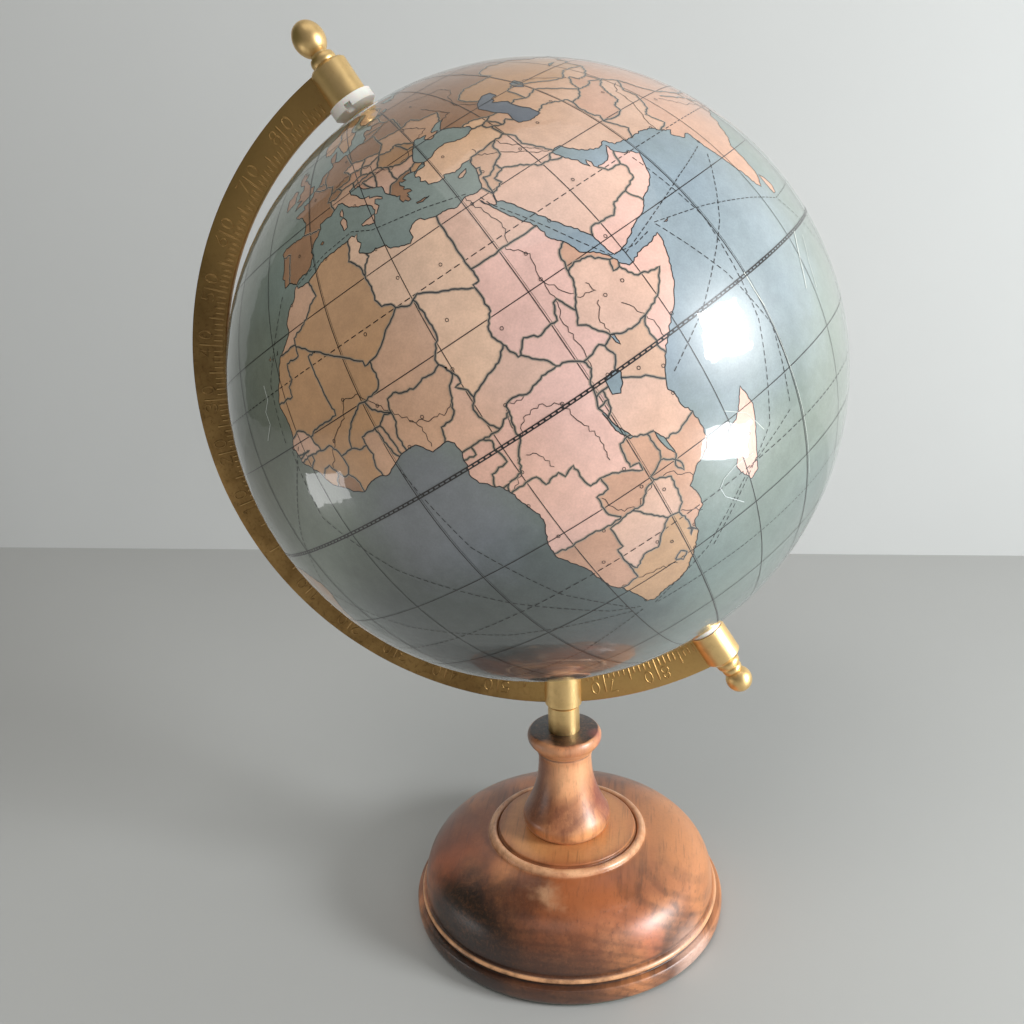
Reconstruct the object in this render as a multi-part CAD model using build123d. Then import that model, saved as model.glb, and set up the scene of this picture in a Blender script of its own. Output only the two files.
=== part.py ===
from build123d import *
import math
import os

# Desktop globe on a turned wooden stand. Millimetres and degrees.
# The stand's post stands on the origin, the table is z = 0, and the meridian arm lies in the X-Z plane
# with its north end towards -X. The ball turns about the tilted polar axis.

# Ball
ball_radius = 100.0
shell_wall = 2.6  # pressed board with the printed and varnished map on it
ring_width = 16.0
ring_wall = 2.5
ring_gap = 0.1

# Polar axis and the rod on it
axis_tilt = 32.17
ball_offset = 6.33  # from the post's axis to the ball's centre, towards -X
rod_radius = 2.0
running_gap = 0.05
fit_gap = 0.05

# Meridian arm: a flat strip, concentric with the ball, with a raised scale on both faces
arm_width = 12.2
arm_thickness = 2.4
arm_end_gap = 1.0  # from the rod to the arm's end, inside the sleeve
tick_margin = 1.2
tick_width = 0.7
tick_relief = 0.35
tick_lengths = {1: 3.4, 5: 5.6, 10: 7.6}  # by the degrees between like ticks

# Brass eyelets in the ball's poles and the nylon bearings in them. The north boss, neck and flange stand
# on one another, and set how far the arm is from the ball.
north_boss_radius = 5.6
north_boss_height = 1.2
north_neck_length = 2.3
north_flange_radius = 7.5
north_flange_thickness = 3.3
south_boss_radius = 5.0
south_flange_radius = 5.9
south_flange_thickness = 1.5
eyelet_wall = 0.9
eyelet_depth = 10.0
eyelet_rim = 2.4
eyelet_rim_thickness = 0.5
eyelet_lip = 1.6
eyelet_hole_gap = 0.1
thrust_gap = 0.1
notch_width = 2.4
notch_depth = 1.6

# Sleeves on the arm's ends
sleeve_radius = 6.4
sleeve_overlap = 0.4  # beyond the arm's inner edge
north_sleeve_chamfer = 0.8
south_sleeve_chamfer = 1.4

# Finials screwed on the rod's ends
north_collar_radius = 4.3
north_collar_height = 3.3
north_neck_radius = 3.0
north_knob_radius = 5.3
north_knob_length = 12.4
south_collar_radius = 4.3
south_collar_height = 3.0
south_bead_radius = 3.6
south_bead_height = 2.4
south_neck_radius = 2.9
south_knob_radius = 4.6
finial_cap = 4.5  # solid end of the knob beyond the rod
collar_edge = 0.88  # share of a collar's radius left at its rounded edges
knob_side = 1.13  # radius of the north knob's side arc, as a share of its half length

# Post: a ferrule on the pedestal and a slotted head that holds the arm
ferrule_radius = 5.7
ferrule_height = 9.7
head_radius = 6.65
head_bevel = 1.1
head_floor = 1.23  # from the head's shoulder to the slot's floor
head_to_ball = 3.7
spigot_radius = 4.2
spigot_length = 8.2

# Tie bolt down the middle of the stand
bolt_radius = 2.5
bolt_grip = 6.0  # length in the head's spigot
bolt_tail = 1.5  # length beyond the nut
bolt_gap = 0.2
washer_radius = 9.0
washer_thickness = 1.2
nut_flats = 8.0
nut_height = 4.0
pocket_radius = 11.0
pocket_depth = 10.0

# Pedestal, from the base's flat top up; the lip is where it is widest below its dark flat top
pedestal_height = 38.9
pedestal_foot_radius = 13.9
pedestal_belly_radius = 16.1
pedestal_belly_height = 4.5
pedestal_neck_radius = 9.65
pedestal_neck_height = 27.7
pedestal_lip_radius = 13.5
pedestal_lip_drop = 2.3
pedestal_top_radius = 12.2
cove_start = 0.11  # share of the way from belly to neck where the swelling turns into the hollow
cup_start = 0.68  # share of the way from neck to lip where the hollow turns into the swelling
line_height = 30.9
line_radius = 10.3
line_size = 0.35

# Base
felt_thickness = 1.0
felt_inset = 2.2
base_height = 30.5
base_radius = 57.0
foot_bevel = 1.0
foot_height = 6.0
groove_depth = 2.6
groove_height = 0.9
bead_height = 2.0
bead_inset = 2.1
dome_inset = 3.5
dome_fullness = 2.45  # exponent of the dome's curve: 2 is an ellipse
dome_turns = (0.25, 0.62)  # shares of the dome where its three arcs meet
ring_radius = 29.0
ring_wide = 3.1
ring_height = 1.9
ring_drop = 0.4  # from the flat top down to the ring bead's crest
quirk_width = 0.5
quirk_depth = 0.9

# Places that follow from the sizes
sleeve_start = ball_radius + north_boss_height + north_neck_length + north_flange_thickness + thrust_gap
arm_inner = sleeve_start + sleeve_overlap
south_boss_height = sleeve_start - thrust_gap - south_flange_thickness - ball_radius
arm_outer = arm_inner + arm_width
arm_end = rod_radius + arm_end_gap
base_top = felt_thickness + base_height
pedestal_top = base_top + pedestal_height
head_bottom = pedestal_top + ferrule_height
slot_floor = head_bottom + head_floor
ball_height = slot_floor + math.sqrt(arm_outer**2 - ball_offset**2)
shell_inner = ball_radius - shell_wall
bore_radius = rod_radius + running_gap

tilt = math.radians(axis_tilt)
ball_centre = (-ball_offset, 0, ball_height)
across = (math.cos(tilt), 0, math.sin(tilt))
north = (-math.sin(tilt), 0, math.cos(tilt))
south = (math.sin(tilt), 0, -math.cos(tilt))
north_frame = Plane(origin=ball_centre, x_dir=across, z_dir=north)
south_frame = Plane(origin=ball_centre, x_dir=across, z_dir=south)


def turned(*edges):
    """A solid of revolution from edges that run round its half section, in (radius, height)."""
    return revolve(Plane.XZ * make_face(Wire(list(edges))), Axis.Z)


def straight(*points):
    """Straight edges through points."""
    return [Line(a, b) for a, b in zip(points, points[1:])]


def bead(low, high, crest):
    """An arc from low to high that bulges out to the crest's radius half way up."""
    return ThreePointArc(low, (crest, (low[1] + high[1]) / 2), high)


def ogee(low, high, share):
    """Two arcs, upright at both ends, that meet at a share of the straight way from low to high."""
    meeting = (low[0] + share * (high[0] - low[0]), low[1] + share * (high[1] - low[1]))
    return TangentArc(low, meeting, tangent=(0, 1)), TangentArc(high, meeting, tangent=(0, -1))


def tube(outer, inner, bottom, top):
    """A round tube from one height to another."""
    section = straight((inner, bottom), (outer, bottom), (outer, top), (inner, top), (inner, bottom))
    return turned(*section)


def drilled(solid, radius, bottom, top):
    """The solid with a round hole on its axis from one height to another."""
    return solid - Pos(0, 0, (bottom + top) / 2) * Cylinder(radius, top - bottom)


# ---------------------------------------------------------------- base and pedestal
def wooden_base():
    """Turned foot band, groove, thin bead, domed body, ring bead and flat top, with a pocket underneath."""
    groove_radius = base_radius - groove_depth
    groove_top = foot_height + groove_height
    bead_top = groove_top + bead_height
    bead_radius = base_radius - bead_inset
    dome_radius = base_radius - dome_inset
    dome_top = base_height - ring_height - ring_wide / 8
    ring_inner = ring_radius - ring_wide
    plateau_radius = ring_inner - quirk_width

    def dome_point(share):
        angle = share * math.pi / 2
        return (
            ring_radius + (dome_radius - ring_radius) * math.cos(angle) ** (2 / dome_fullness),
            bead_top + (dome_top - bead_top) * math.sin(angle) ** (2 / dome_fullness),
        )

    foot_edge = base_radius - foot_bevel
    groove_high = (groove_radius, groove_top)
    dome_foot = (dome_radius, bead_top)
    dome_low = dome_point(dome_turns[0])
    dome_high = dome_point(dome_turns[1])
    dome_crown = (ring_radius, dome_top)
    ring_low = (ring_radius, dome_top + ring_height * 0.25)
    ring_crest = (ring_radius - ring_wide * 0.5, base_height - ring_drop)
    ring_end = (ring_inner, base_height - quirk_depth)
    side = TangentArc(dome_foot, dome_low, tangent=(0, 1))
    shoulder = TangentArc(dome_low, dome_high, tangent=side % 1)
    crown = TangentArc(dome_high, dome_crown, tangent=shoulder % 1)
    solid = turned(
        *straight(
            (0, 0),
            (foot_edge, 0),
            (base_radius, foot_bevel),
            (base_radius, foot_height - foot_bevel),
            (foot_edge, foot_height),
            (groove_radius, foot_height),
            groove_high,
        ),
        bead(groove_high, dome_foot, bead_radius),
        side,
        shoulder,
        crown,
        Line(dome_crown, ring_low),
        ThreePointArc(ring_low, ring_crest, ring_end),
        *straight(
            ring_end,
            (plateau_radius, base_height - quirk_depth),
            (plateau_radius, base_height),
            (0, base_height),
            (0, 0),
        ),
    )
    solid = drilled(solid, pocket_radius, 0, pocket_depth)
    solid = drilled(solid, bolt_radius + bolt_gap, 0, base_height)
    return Pos(0, 0, felt_thickness) * solid


def felt_pad():
    """Felt disc glued under the base; it also closes the pocket."""
    return Pos(0, 0, felt_thickness / 2) * Cylinder(base_radius - felt_inset, felt_thickness)


def pedestal():
    """Turned pedestal: rounded foot, long cove, neck and flaring cup with a flat top."""
    foot = (pedestal_foot_radius, 0)
    belly = (pedestal_belly_radius, pedestal_belly_height)
    neck = (pedestal_neck_radius, pedestal_neck_height)
    lip = (pedestal_lip_radius, pedestal_height - pedestal_lip_drop)
    rim = (pedestal_top_radius, pedestal_height)

    solid = turned(
        Line((0, 0), foot),
        TangentArc(belly, foot, tangent=(0, -1)),
        *ogee(belly, neck, cove_start),
        *ogee(neck, lip, cup_start),
        TangentArc(lip, rim, tangent=(0, 1)),
        *straight(rim, (0, pedestal_height), (0, 0)),
    )
    cutter_radius = line_radius + 2 * line_size
    solid -= turned(
        *straight(
            (line_radius - line_size, line_height),
            (cutter_radius, line_height - 2 * line_size),
            (cutter_radius, line_height + 2 * line_size),
            (line_radius - line_size, line_height),
        )
    )
    return Pos(0, 0, base_top) * drilled(solid, bolt_radius + bolt_gap, 0, pedestal_height)


# ---------------------------------------------------------------- post and tie bolt
def post_ferrule():
    """Plain brass tube between the pedestal and the slotted head."""
    return tube(ferrule_radius, spigot_radius + fit_gap, pedestal_top, head_bottom)


def slotted_head():
    """Brass head: bevelled below, slotted for the arm, with a threaded spigot down into the ferrule."""
    top = ball_height - ball_radius - head_to_ball
    solid = Pos(0, 0, (head_bottom + top) / 2) * Cylinder(head_radius, top - head_bottom)
    solid = chamfer(solid.edges().filter_by(GeomType.CIRCLE).sort_by(Axis.Z)[0], head_bevel)
    spigot_end = head_bottom - spigot_length
    solid += Pos(0, 0, head_bottom - spigot_length / 2) * Cylinder(spigot_radius, spigot_length)
    solid = drilled(solid, bolt_radius, spigot_end, spigot_end + bolt_grip + 1)
    slot_width = arm_thickness + 2 * fit_gap
    arm_disc = Pos(*ball_centre) * Rot(90, 0, 0) * Cylinder(arm_outer + fit_gap, slot_width)
    return solid - arm_disc


def tie_bolt():
    """Threaded rod from the head's spigot down to the nut under the base."""
    top = head_bottom - spigot_length + bolt_grip
    bottom = felt_thickness + pocket_depth - washer_thickness - nut_height - bolt_tail
    return Pos(0, 0, (bottom + top) / 2) * Cylinder(bolt_radius - fit_gap, top - bottom)


def bolt_washer():
    """Flat washer against the ceiling of the base's pocket."""
    ceiling = felt_thickness + pocket_depth
    return tube(washer_radius, bolt_radius + bolt_gap, ceiling - washer_thickness, ceiling)


def bolt_nut():
    """Hexagon nut under the washer."""
    top = felt_thickness + pocket_depth - washer_thickness
    hexagon = RegularPolygon(nut_flats / 2, 6, major_radius=False)
    solid = Pos(0, 0, top - nut_height) * extrude(hexagon, nut_height)
    return drilled(solid, bolt_radius, top - nut_height, top)


# ---------------------------------------------------------------- meridian arm
def tick_degrees():
    """Degrees of the scale that are in the open, clear of the sleeves and of the head's slot."""
    middle = (arm_inner + arm_outer) / 2
    for degree in range(-89, 90):
        turn = math.radians(degree)
        from_axis = arm_inner * math.cos(turn)
        from_post = middle * (-math.cos(turn) * across[0] + math.sin(turn) * north[0]) - ball_offset
        behind_sleeve = from_axis < sleeve_radius + tick_width
        in_slot = abs(from_post) < head_radius + tick_width and degree < 0
        if not behind_sleeve and not in_slot:
            yield degree


def tick_length(degree):
    """A long tick each ten degrees, a middle one each five and a short one at the others."""
    return max(length for step, length in tick_lengths.items() if degree % step == 0)


def meridian_arm():
    """Half-ring strip from pole to pole, with the raised degree ticks passing through it."""
    strip = Rot(90, 0, 0) * (Cylinder(arm_outer, arm_thickness) - Cylinder(arm_inner, arm_thickness))
    strip -= Pos(arm_outer - arm_end, 0, 0) * Box(2 * arm_outer, 2 * arm_thickness, 3 * arm_outer)
    ticks = []
    for degree in tick_degrees():
        length = tick_length(degree)
        place = Rot(0, degree, 0) * Pos(-arm_inner - tick_margin - length / 2, 0, 0)
        ticks.append(place * Box(length, arm_thickness + 2 * tick_relief, tick_width))
    return north_frame * strip.fuse(*ticks)


def sleeve(frame, outer_chamfer):
    """Brass tube on the axis, as long as the arm is wide, slotted to take the arm's end."""
    solid = tube(sleeve_radius, bore_radius, sleeve_start, arm_outer)
    rims = solid.edges().filter_by(GeomType.CIRCLE).group_by(Axis.Z)[-1].sort_by(SortBy.RADIUS)
    solid = chamfer(rims[-1], outer_chamfer)
    slot_end = arm_end - fit_gap
    slot = Pos(-slot_end - sleeve_radius, 0, (sleeve_start + arm_outer) / 2)
    solid -= slot * Box(2 * sleeve_radius, arm_thickness + 2 * fit_gap, 2 * arm_width)
    return frame * solid


# ---------------------------------------------------------------- finials and rod
def rod_end(knob_top):
    """Where the rod ends inside a knob."""
    return knob_top - finial_cap


def north_knob_top():
    return arm_outer + north_collar_height + north_knob_length


def north_finial():
    """Turned collar, short neck and egg-shaped knob."""
    collar_top = arm_outer + north_collar_height
    edge = north_collar_radius * collar_edge
    half = north_knob_length / 2
    centre = north_knob_top() - half
    side = half * knob_side
    inset = side - north_knob_radius
    cap = (north_knob_radius**2 + half**2 - 2 * north_knob_radius * side) / (2 * (half - side))
    start = math.degrees(math.acos((north_neck_radius + inset) / side))
    turn = math.degrees(math.atan2(half - cap, inset))
    neck_top = centre - side * math.sin(math.radians(start))
    solid = turned(
        Line((0, arm_outer), (edge, arm_outer)),
        bead((edge, arm_outer), (edge, collar_top), north_collar_radius),
        *straight((edge, collar_top), (north_neck_radius, collar_top), (north_neck_radius, neck_top)),
        CenterArc((-inset, centre), side, -start, start + turn),
        CenterArc((0, centre + half - cap), cap, turn, 90 - turn),
        Line((0, centre + half), (0, arm_outer)),
    )
    return north_frame * drilled(solid, rod_radius + fit_gap, arm_outer, rod_end(north_knob_top()) + fit_gap)


def south_knob_top():
    bead_top = arm_outer + south_collar_height + south_bead_height
    return bead_top + south_knob_radius * (1 + math.sqrt(1 - (south_neck_radius / south_knob_radius) ** 2))


def south_finial():
    """Turned collar, smaller bead and ball knob."""
    collar_top = arm_outer + south_collar_height
    bead_top = collar_top + south_bead_height
    edge = south_collar_radius * collar_edge
    bead_edge = south_bead_radius * collar_edge
    centre = south_knob_top() - south_knob_radius
    start = math.degrees(math.acos(south_neck_radius / south_knob_radius))
    solid = turned(
        Line((0, arm_outer), (edge, arm_outer)),
        bead((edge, arm_outer), (edge, collar_top), south_collar_radius),
        Line((edge, collar_top), (bead_edge, collar_top)),
        bead((bead_edge, collar_top), (bead_edge, bead_top), south_bead_radius),
        Line((bead_edge, bead_top), (south_neck_radius, bead_top)),
        CenterArc((0, centre), south_knob_radius, -start, 90 + start),
        Line((0, centre + south_knob_radius), (0, arm_outer)),
    )
    return south_frame * drilled(solid, rod_radius + fit_gap, arm_outer, rod_end(south_knob_top()) + fit_gap)


def axle_rod():
    """Steel rod through the ball from finial to finial."""
    top = rod_end(north_knob_top())
    bottom = -rod_end(south_knob_top())
    return north_frame * (Pos(0, 0, (bottom + top) / 2) * Cylinder(rod_radius, top - bottom))


# ---------------------------------------------------------------- ball
def hemisphere(frame, boss_radius):
    """Pressed-board half shell, printed with its half of the map, with a round hole at its pole."""
    solid = turned(
        Line((shell_inner, 0), (ball_radius, 0)),
        CenterArc((0, 0), ball_radius, 0, 90),
        Line((0, ball_radius), (0, shell_inner)),
        CenterArc((0, 0), shell_inner, 0, 90),
    )
    return frame * drilled(solid, boss_radius + eyelet_hole_gap, shell_inner / 2, 2 * ball_radius)


def joining_ring():
    """Board hoop inside the equator that both half shells are glued to."""
    outer = math.sqrt(shell_inner**2 - (ring_width / 2) ** 2) - ring_gap
    return north_frame * tube(outer, outer - ring_wall, -ring_width / 2, ring_width / 2)


def eyelet(frame, boss_radius, boss_height):
    """Brass eyelet clinched in a pole's hole: boss, rim on the map, barrel and inner lip."""
    top = ball_radius + boss_height
    rim_low = ball_radius + fit_gap
    rim_high = rim_low + eyelet_rim_thickness
    rim_radius = boss_radius + eyelet_rim
    lip_high = math.sqrt(shell_inner**2 - (boss_radius + eyelet_lip) ** 2) - eyelet_hole_gap
    lip_low = lip_high - eyelet_wall
    lip_radius = boss_radius + eyelet_lip
    bottom = ball_radius - eyelet_depth
    bore = boss_radius - eyelet_wall
    section = straight(
        (bore, bottom),
        (boss_radius, bottom),
        (boss_radius, lip_low),
        (lip_radius, lip_low),
        (lip_radius, lip_high),
        (boss_radius, lip_high),
        (boss_radius, rim_low),
        (rim_radius, rim_low),
        (rim_radius, rim_high),
        (boss_radius + 0.2, rim_high + 0.2),
        (boss_radius, top),
        (bore, top),
        (bore, bottom),
    )
    return frame * turned(*section)


def bearing(boss_radius, boss_height, flange_radius, flange_thickness):
    """Nylon bearing pressed in an eyelet: barrel, widening neck and thrust flange, running on the rod."""
    barrel = boss_radius - eyelet_wall - fit_gap
    bottom = ball_radius - eyelet_depth
    flange_top = sleeve_start - thrust_gap
    flange_bottom = flange_top - flange_thickness
    section = straight(
        (bore_radius, bottom),
        (barrel, bottom),
        (barrel, ball_radius + boss_height),
        (flange_radius, flange_bottom),
        (flange_radius, flange_top),
        (bore_radius, flange_top),
        (bore_radius, bottom),
    )
    return turned(*section)


def north_bearing():
    """The north bearing, with a square notch in its flange's inner edge."""
    solid = bearing(north_boss_radius, north_boss_height, north_flange_radius, north_flange_thickness)
    notch = Pos(0, -north_flange_radius, sleeve_start - thrust_gap - north_flange_thickness)
    return north_frame * (solid - notch * Box(notch_width, 2 * notch_depth, 2 * notch_depth))


def south_bearing():
    """The south bearing: its flange rests on the eyelet's tall boss."""
    solid = bearing(south_boss_radius, south_boss_height, south_flange_radius, south_flange_thickness)
    return south_frame * solid


pieces = {
    "wooden_base": wooden_base(),
    "felt_pad": felt_pad(),
    "pedestal": pedestal(),
    "post_ferrule": post_ferrule(),
    "slotted_head": slotted_head(),
    "tie_bolt": tie_bolt(),
    "bolt_washer": bolt_washer(),
    "bolt_nut": bolt_nut(),
    "meridian_arm": meridian_arm(),
    "north_sleeve": sleeve(north_frame, north_sleeve_chamfer),
    "south_sleeve": sleeve(south_frame, south_sleeve_chamfer),
    "north_finial": north_finial(),
    "south_finial": south_finial(),
    "axle_rod": axle_rod(),
    "northern_shell": hemisphere(north_frame, north_boss_radius),
    "southern_shell": hemisphere(south_frame, south_boss_radius),
    "joining_ring": joining_ring(),
    "north_eyelet": eyelet(north_frame, north_boss_radius, north_boss_height),
    "south_eyelet": eyelet(south_frame, south_boss_radius, south_boss_height),
    "north_bearing": north_bearing(),
    "south_bearing": south_bearing(),
}

os.makedirs("parts", exist_ok=True)
for node, shape in pieces.items():
    export_step(shape, f"parts/{node}.step")
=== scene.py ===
import bpy
import math
import random
import numpy as np
from mathutils import Matrix, Vector
from mathutils.geometry import delaunay_2d_cdt


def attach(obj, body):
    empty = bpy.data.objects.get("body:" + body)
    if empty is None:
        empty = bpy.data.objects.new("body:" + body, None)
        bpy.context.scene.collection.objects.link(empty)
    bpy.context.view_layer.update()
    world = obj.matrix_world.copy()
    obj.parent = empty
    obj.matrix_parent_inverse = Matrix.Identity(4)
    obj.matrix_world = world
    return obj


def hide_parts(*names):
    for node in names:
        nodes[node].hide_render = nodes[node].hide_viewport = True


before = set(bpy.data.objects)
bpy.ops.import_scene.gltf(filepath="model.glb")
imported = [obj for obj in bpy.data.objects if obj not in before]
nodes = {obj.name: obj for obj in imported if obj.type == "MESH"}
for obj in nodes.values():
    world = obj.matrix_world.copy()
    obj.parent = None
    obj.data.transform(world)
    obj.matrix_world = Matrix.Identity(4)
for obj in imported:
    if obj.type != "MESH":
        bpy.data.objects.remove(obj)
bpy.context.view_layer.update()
mm = 0.001


# ---------------------------------------------------------------- camera
# A fairly wide view from a third of a metre in front of the globe. It stands a little above the ball's
# middle and looks down on the stand, with the lens shifted to keep the foot in the picture.
eye = (0.0315855, -0.3369501, 0.2611081)
view_right = Vector((0.99105, 0.12797, -0.03788))
view_down = Vector((-0.00501, -0.24791, -0.96877))
view_ahead = Vector((-0.13336, 0.96029, -0.24506))
camera_data = bpy.data.cameras.new("camera")
camera_data.sensor_width = 36.0
camera_data.lens = 36.105
camera_data.shift_y = -0.0605
camera_data.clip_start = 0.01
camera = bpy.data.objects.new("camera", camera_data)
bpy.context.scene.collection.objects.link(camera)
camera.matrix_world = (
    Matrix.Translation(eye) @ Matrix((view_right, -view_down, -view_ahead)).transposed().to_4x4()
)
bpy.context.scene.camera = camera


# ---------------------------------------------------------------- floor, wall and lamps
# A pale worktop meets a pale wall behind the globe. A large soft box on the right is the main light, with a
# small one under it and a white card low on the left; two boxes in front, one at the side and one overhead
# fill the shadows. The gloss also mirrors a dark card on the left, which lights and shades nothing.
def srgb(red, green, blue):
    """A colour as a paint chart gives it, 0 to 255 for each of red, green and blue."""
    shares = [value / 255 for value in (red, green, blue)]
    return [s / 12.92 if s <= 0.04045 else ((s + 0.055) / 1.055) ** 2.4 for s in shares] + [1.0]


def join(tree, source, socket):
    """Feeds a node's input from another node, from one of its outputs, or with a plain value."""
    if isinstance(source, bpy.types.Node):
        source = source.outputs[0]
    if isinstance(source, bpy.types.NodeSocket):
        tree.links.new(source, socket)
    else:
        socket.default_value = source


def node(tree, kind, inputs=None, **settings):
    """A shader node with its settings and inputs given."""
    made = tree.nodes.new("ShaderNode" + kind)
    for name, value in settings.items():
        setattr(made, name, value)
    for name, source in (inputs or {}).items():
        join(tree, source, made.inputs[name])
    return made


def finish(name, inputs):
    """A new material, its node tree, its shader, and the output that gives each point's place in metres."""
    material = bpy.data.materials.new(name)
    material.use_nodes = True
    tree = material.node_tree
    shader = tree.nodes["Principled BSDF"]
    for socket, value in inputs.items():
        shader.inputs[socket].default_value = value
    return material, tree, shader, node(tree, "TexCoord").outputs["Object"]


def noise(tree, place, scale, detail=3.0, roughness=0.5, stretch=(1, 1, 1)):
    """Cloudy noise of a given scale per metre, drawn out along an axis by a small stretch value."""
    spread = node(tree, "VectorMath", {0: place, 1: stretch}, operation="MULTIPLY")
    inputs = {"Vector": spread, "Scale": scale, "Detail": detail, "Roughness": roughness}
    return node(tree, "TexNoise", inputs)


def share(tree, value, low, high, start=0.0, end=1.0):
    """Turns a value between low and high into one between start and end."""
    inputs = {0: value, 1: low, 2: high, 3: start, 4: end}
    return node(tree, "MapRange", inputs, interpolation_type="SMOOTHSTEP")


def blended(tree, factor, first, second, how="MIX"):
    """Two colours mixed by a factor."""
    made = node(tree, "Mix", {0: factor, 6: first, 7: second}, data_type="RGBA", blend_type=how)
    return made.outputs[2]


def times(tree, first, second):
    return node(tree, "Math", {0: first, 1: second}, operation="MULTIPLY")


def plain(name, colour, roughness):
    """A plain surface with a faint cloudiness."""
    material, tree, shader, place = finish(name, {"Roughness": roughness})
    cloud = noise(tree, place, 9.0)
    darker = [channel * 0.96 for channel in colour[:3]] + [1.0]
    join(tree, blended(tree, cloud, darker, colour), shader.inputs["Base Color"])
    return material


def mesh_piece(name, points, faces, material, smooth=True):
    """An object from points in millimetres and faces."""
    mesh = bpy.data.meshes.new(name)
    mesh.from_pydata([tuple(c * mm for c in point) for point in points], [], faces)
    mesh.validate()
    if smooth:
        mesh.shade_smooth()
    mesh.materials.append(material)
    piece = bpy.data.objects.new(name, mesh)
    bpy.context.scene.collection.objects.link(piece)
    return piece


def flat_sheet(name, corner, along, up, colour, roughness):
    """A plain rectangle from one corner and two of its sides, in millimetres."""
    corner, along, up = Vector(corner), Vector(along), Vector(up)
    points = [corner, corner + along, corner + along + up, corner + up]
    return mesh_piece(name, points, [(0, 1, 2, 3)], plain(name, colour, roughness), smooth=False)


room, wall_distance, wall_height = 3000, 380, 2600
near_corner, far_corner = (-room, -room, 0), (-room, wall_distance, 0)
room_width, room_depth = (2 * room, 0, 0), (0, room + wall_distance, 0)
worktop = flat_sheet("worktop", near_corner, room_width, room_depth, srgb(172, 172, 169), 0.5)
wall = flat_sheet("wall", far_corner, room_width, (0, 0, wall_height), srgb(198, 199, 197), 0.7)
dark_card = flat_sheet("dark_card", (-750, -1100, 60), (0, 1400, 0), (0, 0, 940), srgb(78, 80, 64), 0.9)
for hidden_from in ("camera", "diffuse", "shadow", "transmission"):
    setattr(dark_card, "visible_" + hidden_from, False)


def soft_box(name, place, aim, width, height, power, colour, mirrored=True):
    """A rectangular lamp at a place in metres, turned to shine at an aim; glossy surfaces may mirror it."""
    lamp = bpy.data.lights.new(name, "AREA")
    lamp.shape = "RECTANGLE"
    lamp.size = width
    lamp.size_y = height
    lamp.energy = power
    lamp.color = colour
    stand = bpy.data.objects.new(name, lamp)
    bpy.context.scene.collection.objects.link(stand)
    stand.location = place
    stand.rotation_euler = (Vector(aim) - Vector(place)).to_track_quat("-Z", "Y").to_euler()
    stand.visible_camera = False
    stand.visible_glossy = mirrored


soft_box("window", (1.10, -0.33, 0.50), (0, 0, 0.2), 0.38, 0.30, 15.5, (0.94, 0.975, 1.0))
soft_box("low_window", (0.42, -0.18, 0.085), (0.05, -0.08, 0.2), 0.14, 0.08, 0.55, (0.94, 0.975, 1.0))
soft_box("left_card", (-0.38, -0.16, 0.024), (-0.05, -0.09, 0.19), 0.13, 0.06, 0.09, (1.0, 1.0, 1.0))
soft_box("side_fill", (-1.4, -0.5, 0.7), (0, 0, 0.15), 0.5, 0.9, 0.9, (1.0, 0.98, 0.94), mirrored=False)
soft_box("upper_front", (-0.25, -0.85, 1.35), (0, 0, 0.15), 0.7, 0.6, 7.0, (1.0, 0.99, 0.97), mirrored=False)
soft_box("low_front", (0.55, -1.1, 0.32), (0.04, 0, 0.12), 0.4, 0.4, 1.7, (0.98, 0.99, 1.0), mirrored=False)
soft_box("overhead", (0.2, -0.3, 1.7), (0, 0, 0.1), 1.6, 1.2, 4.5, (1.0, 0.99, 0.97))

world = bpy.data.worlds.new("studio")
bpy.context.scene.world = world
world.use_nodes = True
world.node_tree.nodes["Background"].inputs["Color"].default_value = (1.0, 1.0, 1.0, 1.0)
world.node_tree.nodes["Background"].inputs["Strength"].default_value = 0.19
bpy.context.scene.view_settings.view_transform = "Standard"


# ---------------------------------------------------------------- wooden base
# The foot is turned from one thick block of dark-stained hardwood whose grain runs from front to back: a
# rounded foot band, a groove, a thin bead, a full dome and a ring bead round the flat top. The stain is
# uneven, and the finish is a thin wax polish. Light and shade are also painted into its colour: lighter on
# the top and the right, darker on the left and low on the front, painted highlights along the beads and
# painted shade in the grooves.
touching = 1e-6


def turned_piece(name, outline, material, steps=144):
    """A piece turned round the stand's axis, from its half section of (radius, height) in millimetres."""
    points, faces, rings = [], [], []
    for radius, height in outline:
        count = steps if radius > touching else 1
        rings.append(range(len(points), len(points) + count))
        for step in range(count):
            turn = 2 * math.pi * step / steps
            points.append(Vector((radius * math.cos(turn), radius * math.sin(turn), height)))
    for low, high in zip(rings, rings[1:]):
        for step in range(steps):
            after = step + 1
            lower = (low[step % len(low)], low[after % len(low)])
            upper = (high[after % len(high)], high[step % len(high)])
            faces.append(tuple(dict.fromkeys(lower + upper)))
    piece = mesh_piece(name, points, [face for face in faces if len(face) > 2], material)
    piece.data.set_sharp_from_angle(angle=math.radians(40))
    return piece


def eased(outline, radius):
    """The outline with each of its corners rounded off, as sanding leaves it."""
    smooth_turn = math.radians(20)
    result = [outline[0]]
    for before, corner, after in zip(outline, outline[1:], outline[2:]):
        back, ahead = Vector(before) - Vector(corner), Vector(after) - Vector(corner)
        if min(back.length, ahead.length) < touching or back.angle(-ahead) < smooth_turn:
            result.append(corner)
            continue
        reach = min(radius, back.length * 0.45, ahead.length * 0.45)
        start, end = Vector(corner) + back.normalized() * reach, Vector(corner) + ahead.normalized() * reach
        for t in (0, 0.25, 0.5, 0.75, 1):
            point = start * (1 - t) ** 2 + Vector(corner) * 2 * t * (1 - t) + end * t**2
            result.append(tuple(point))
    return result + [outline[-1]]


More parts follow.
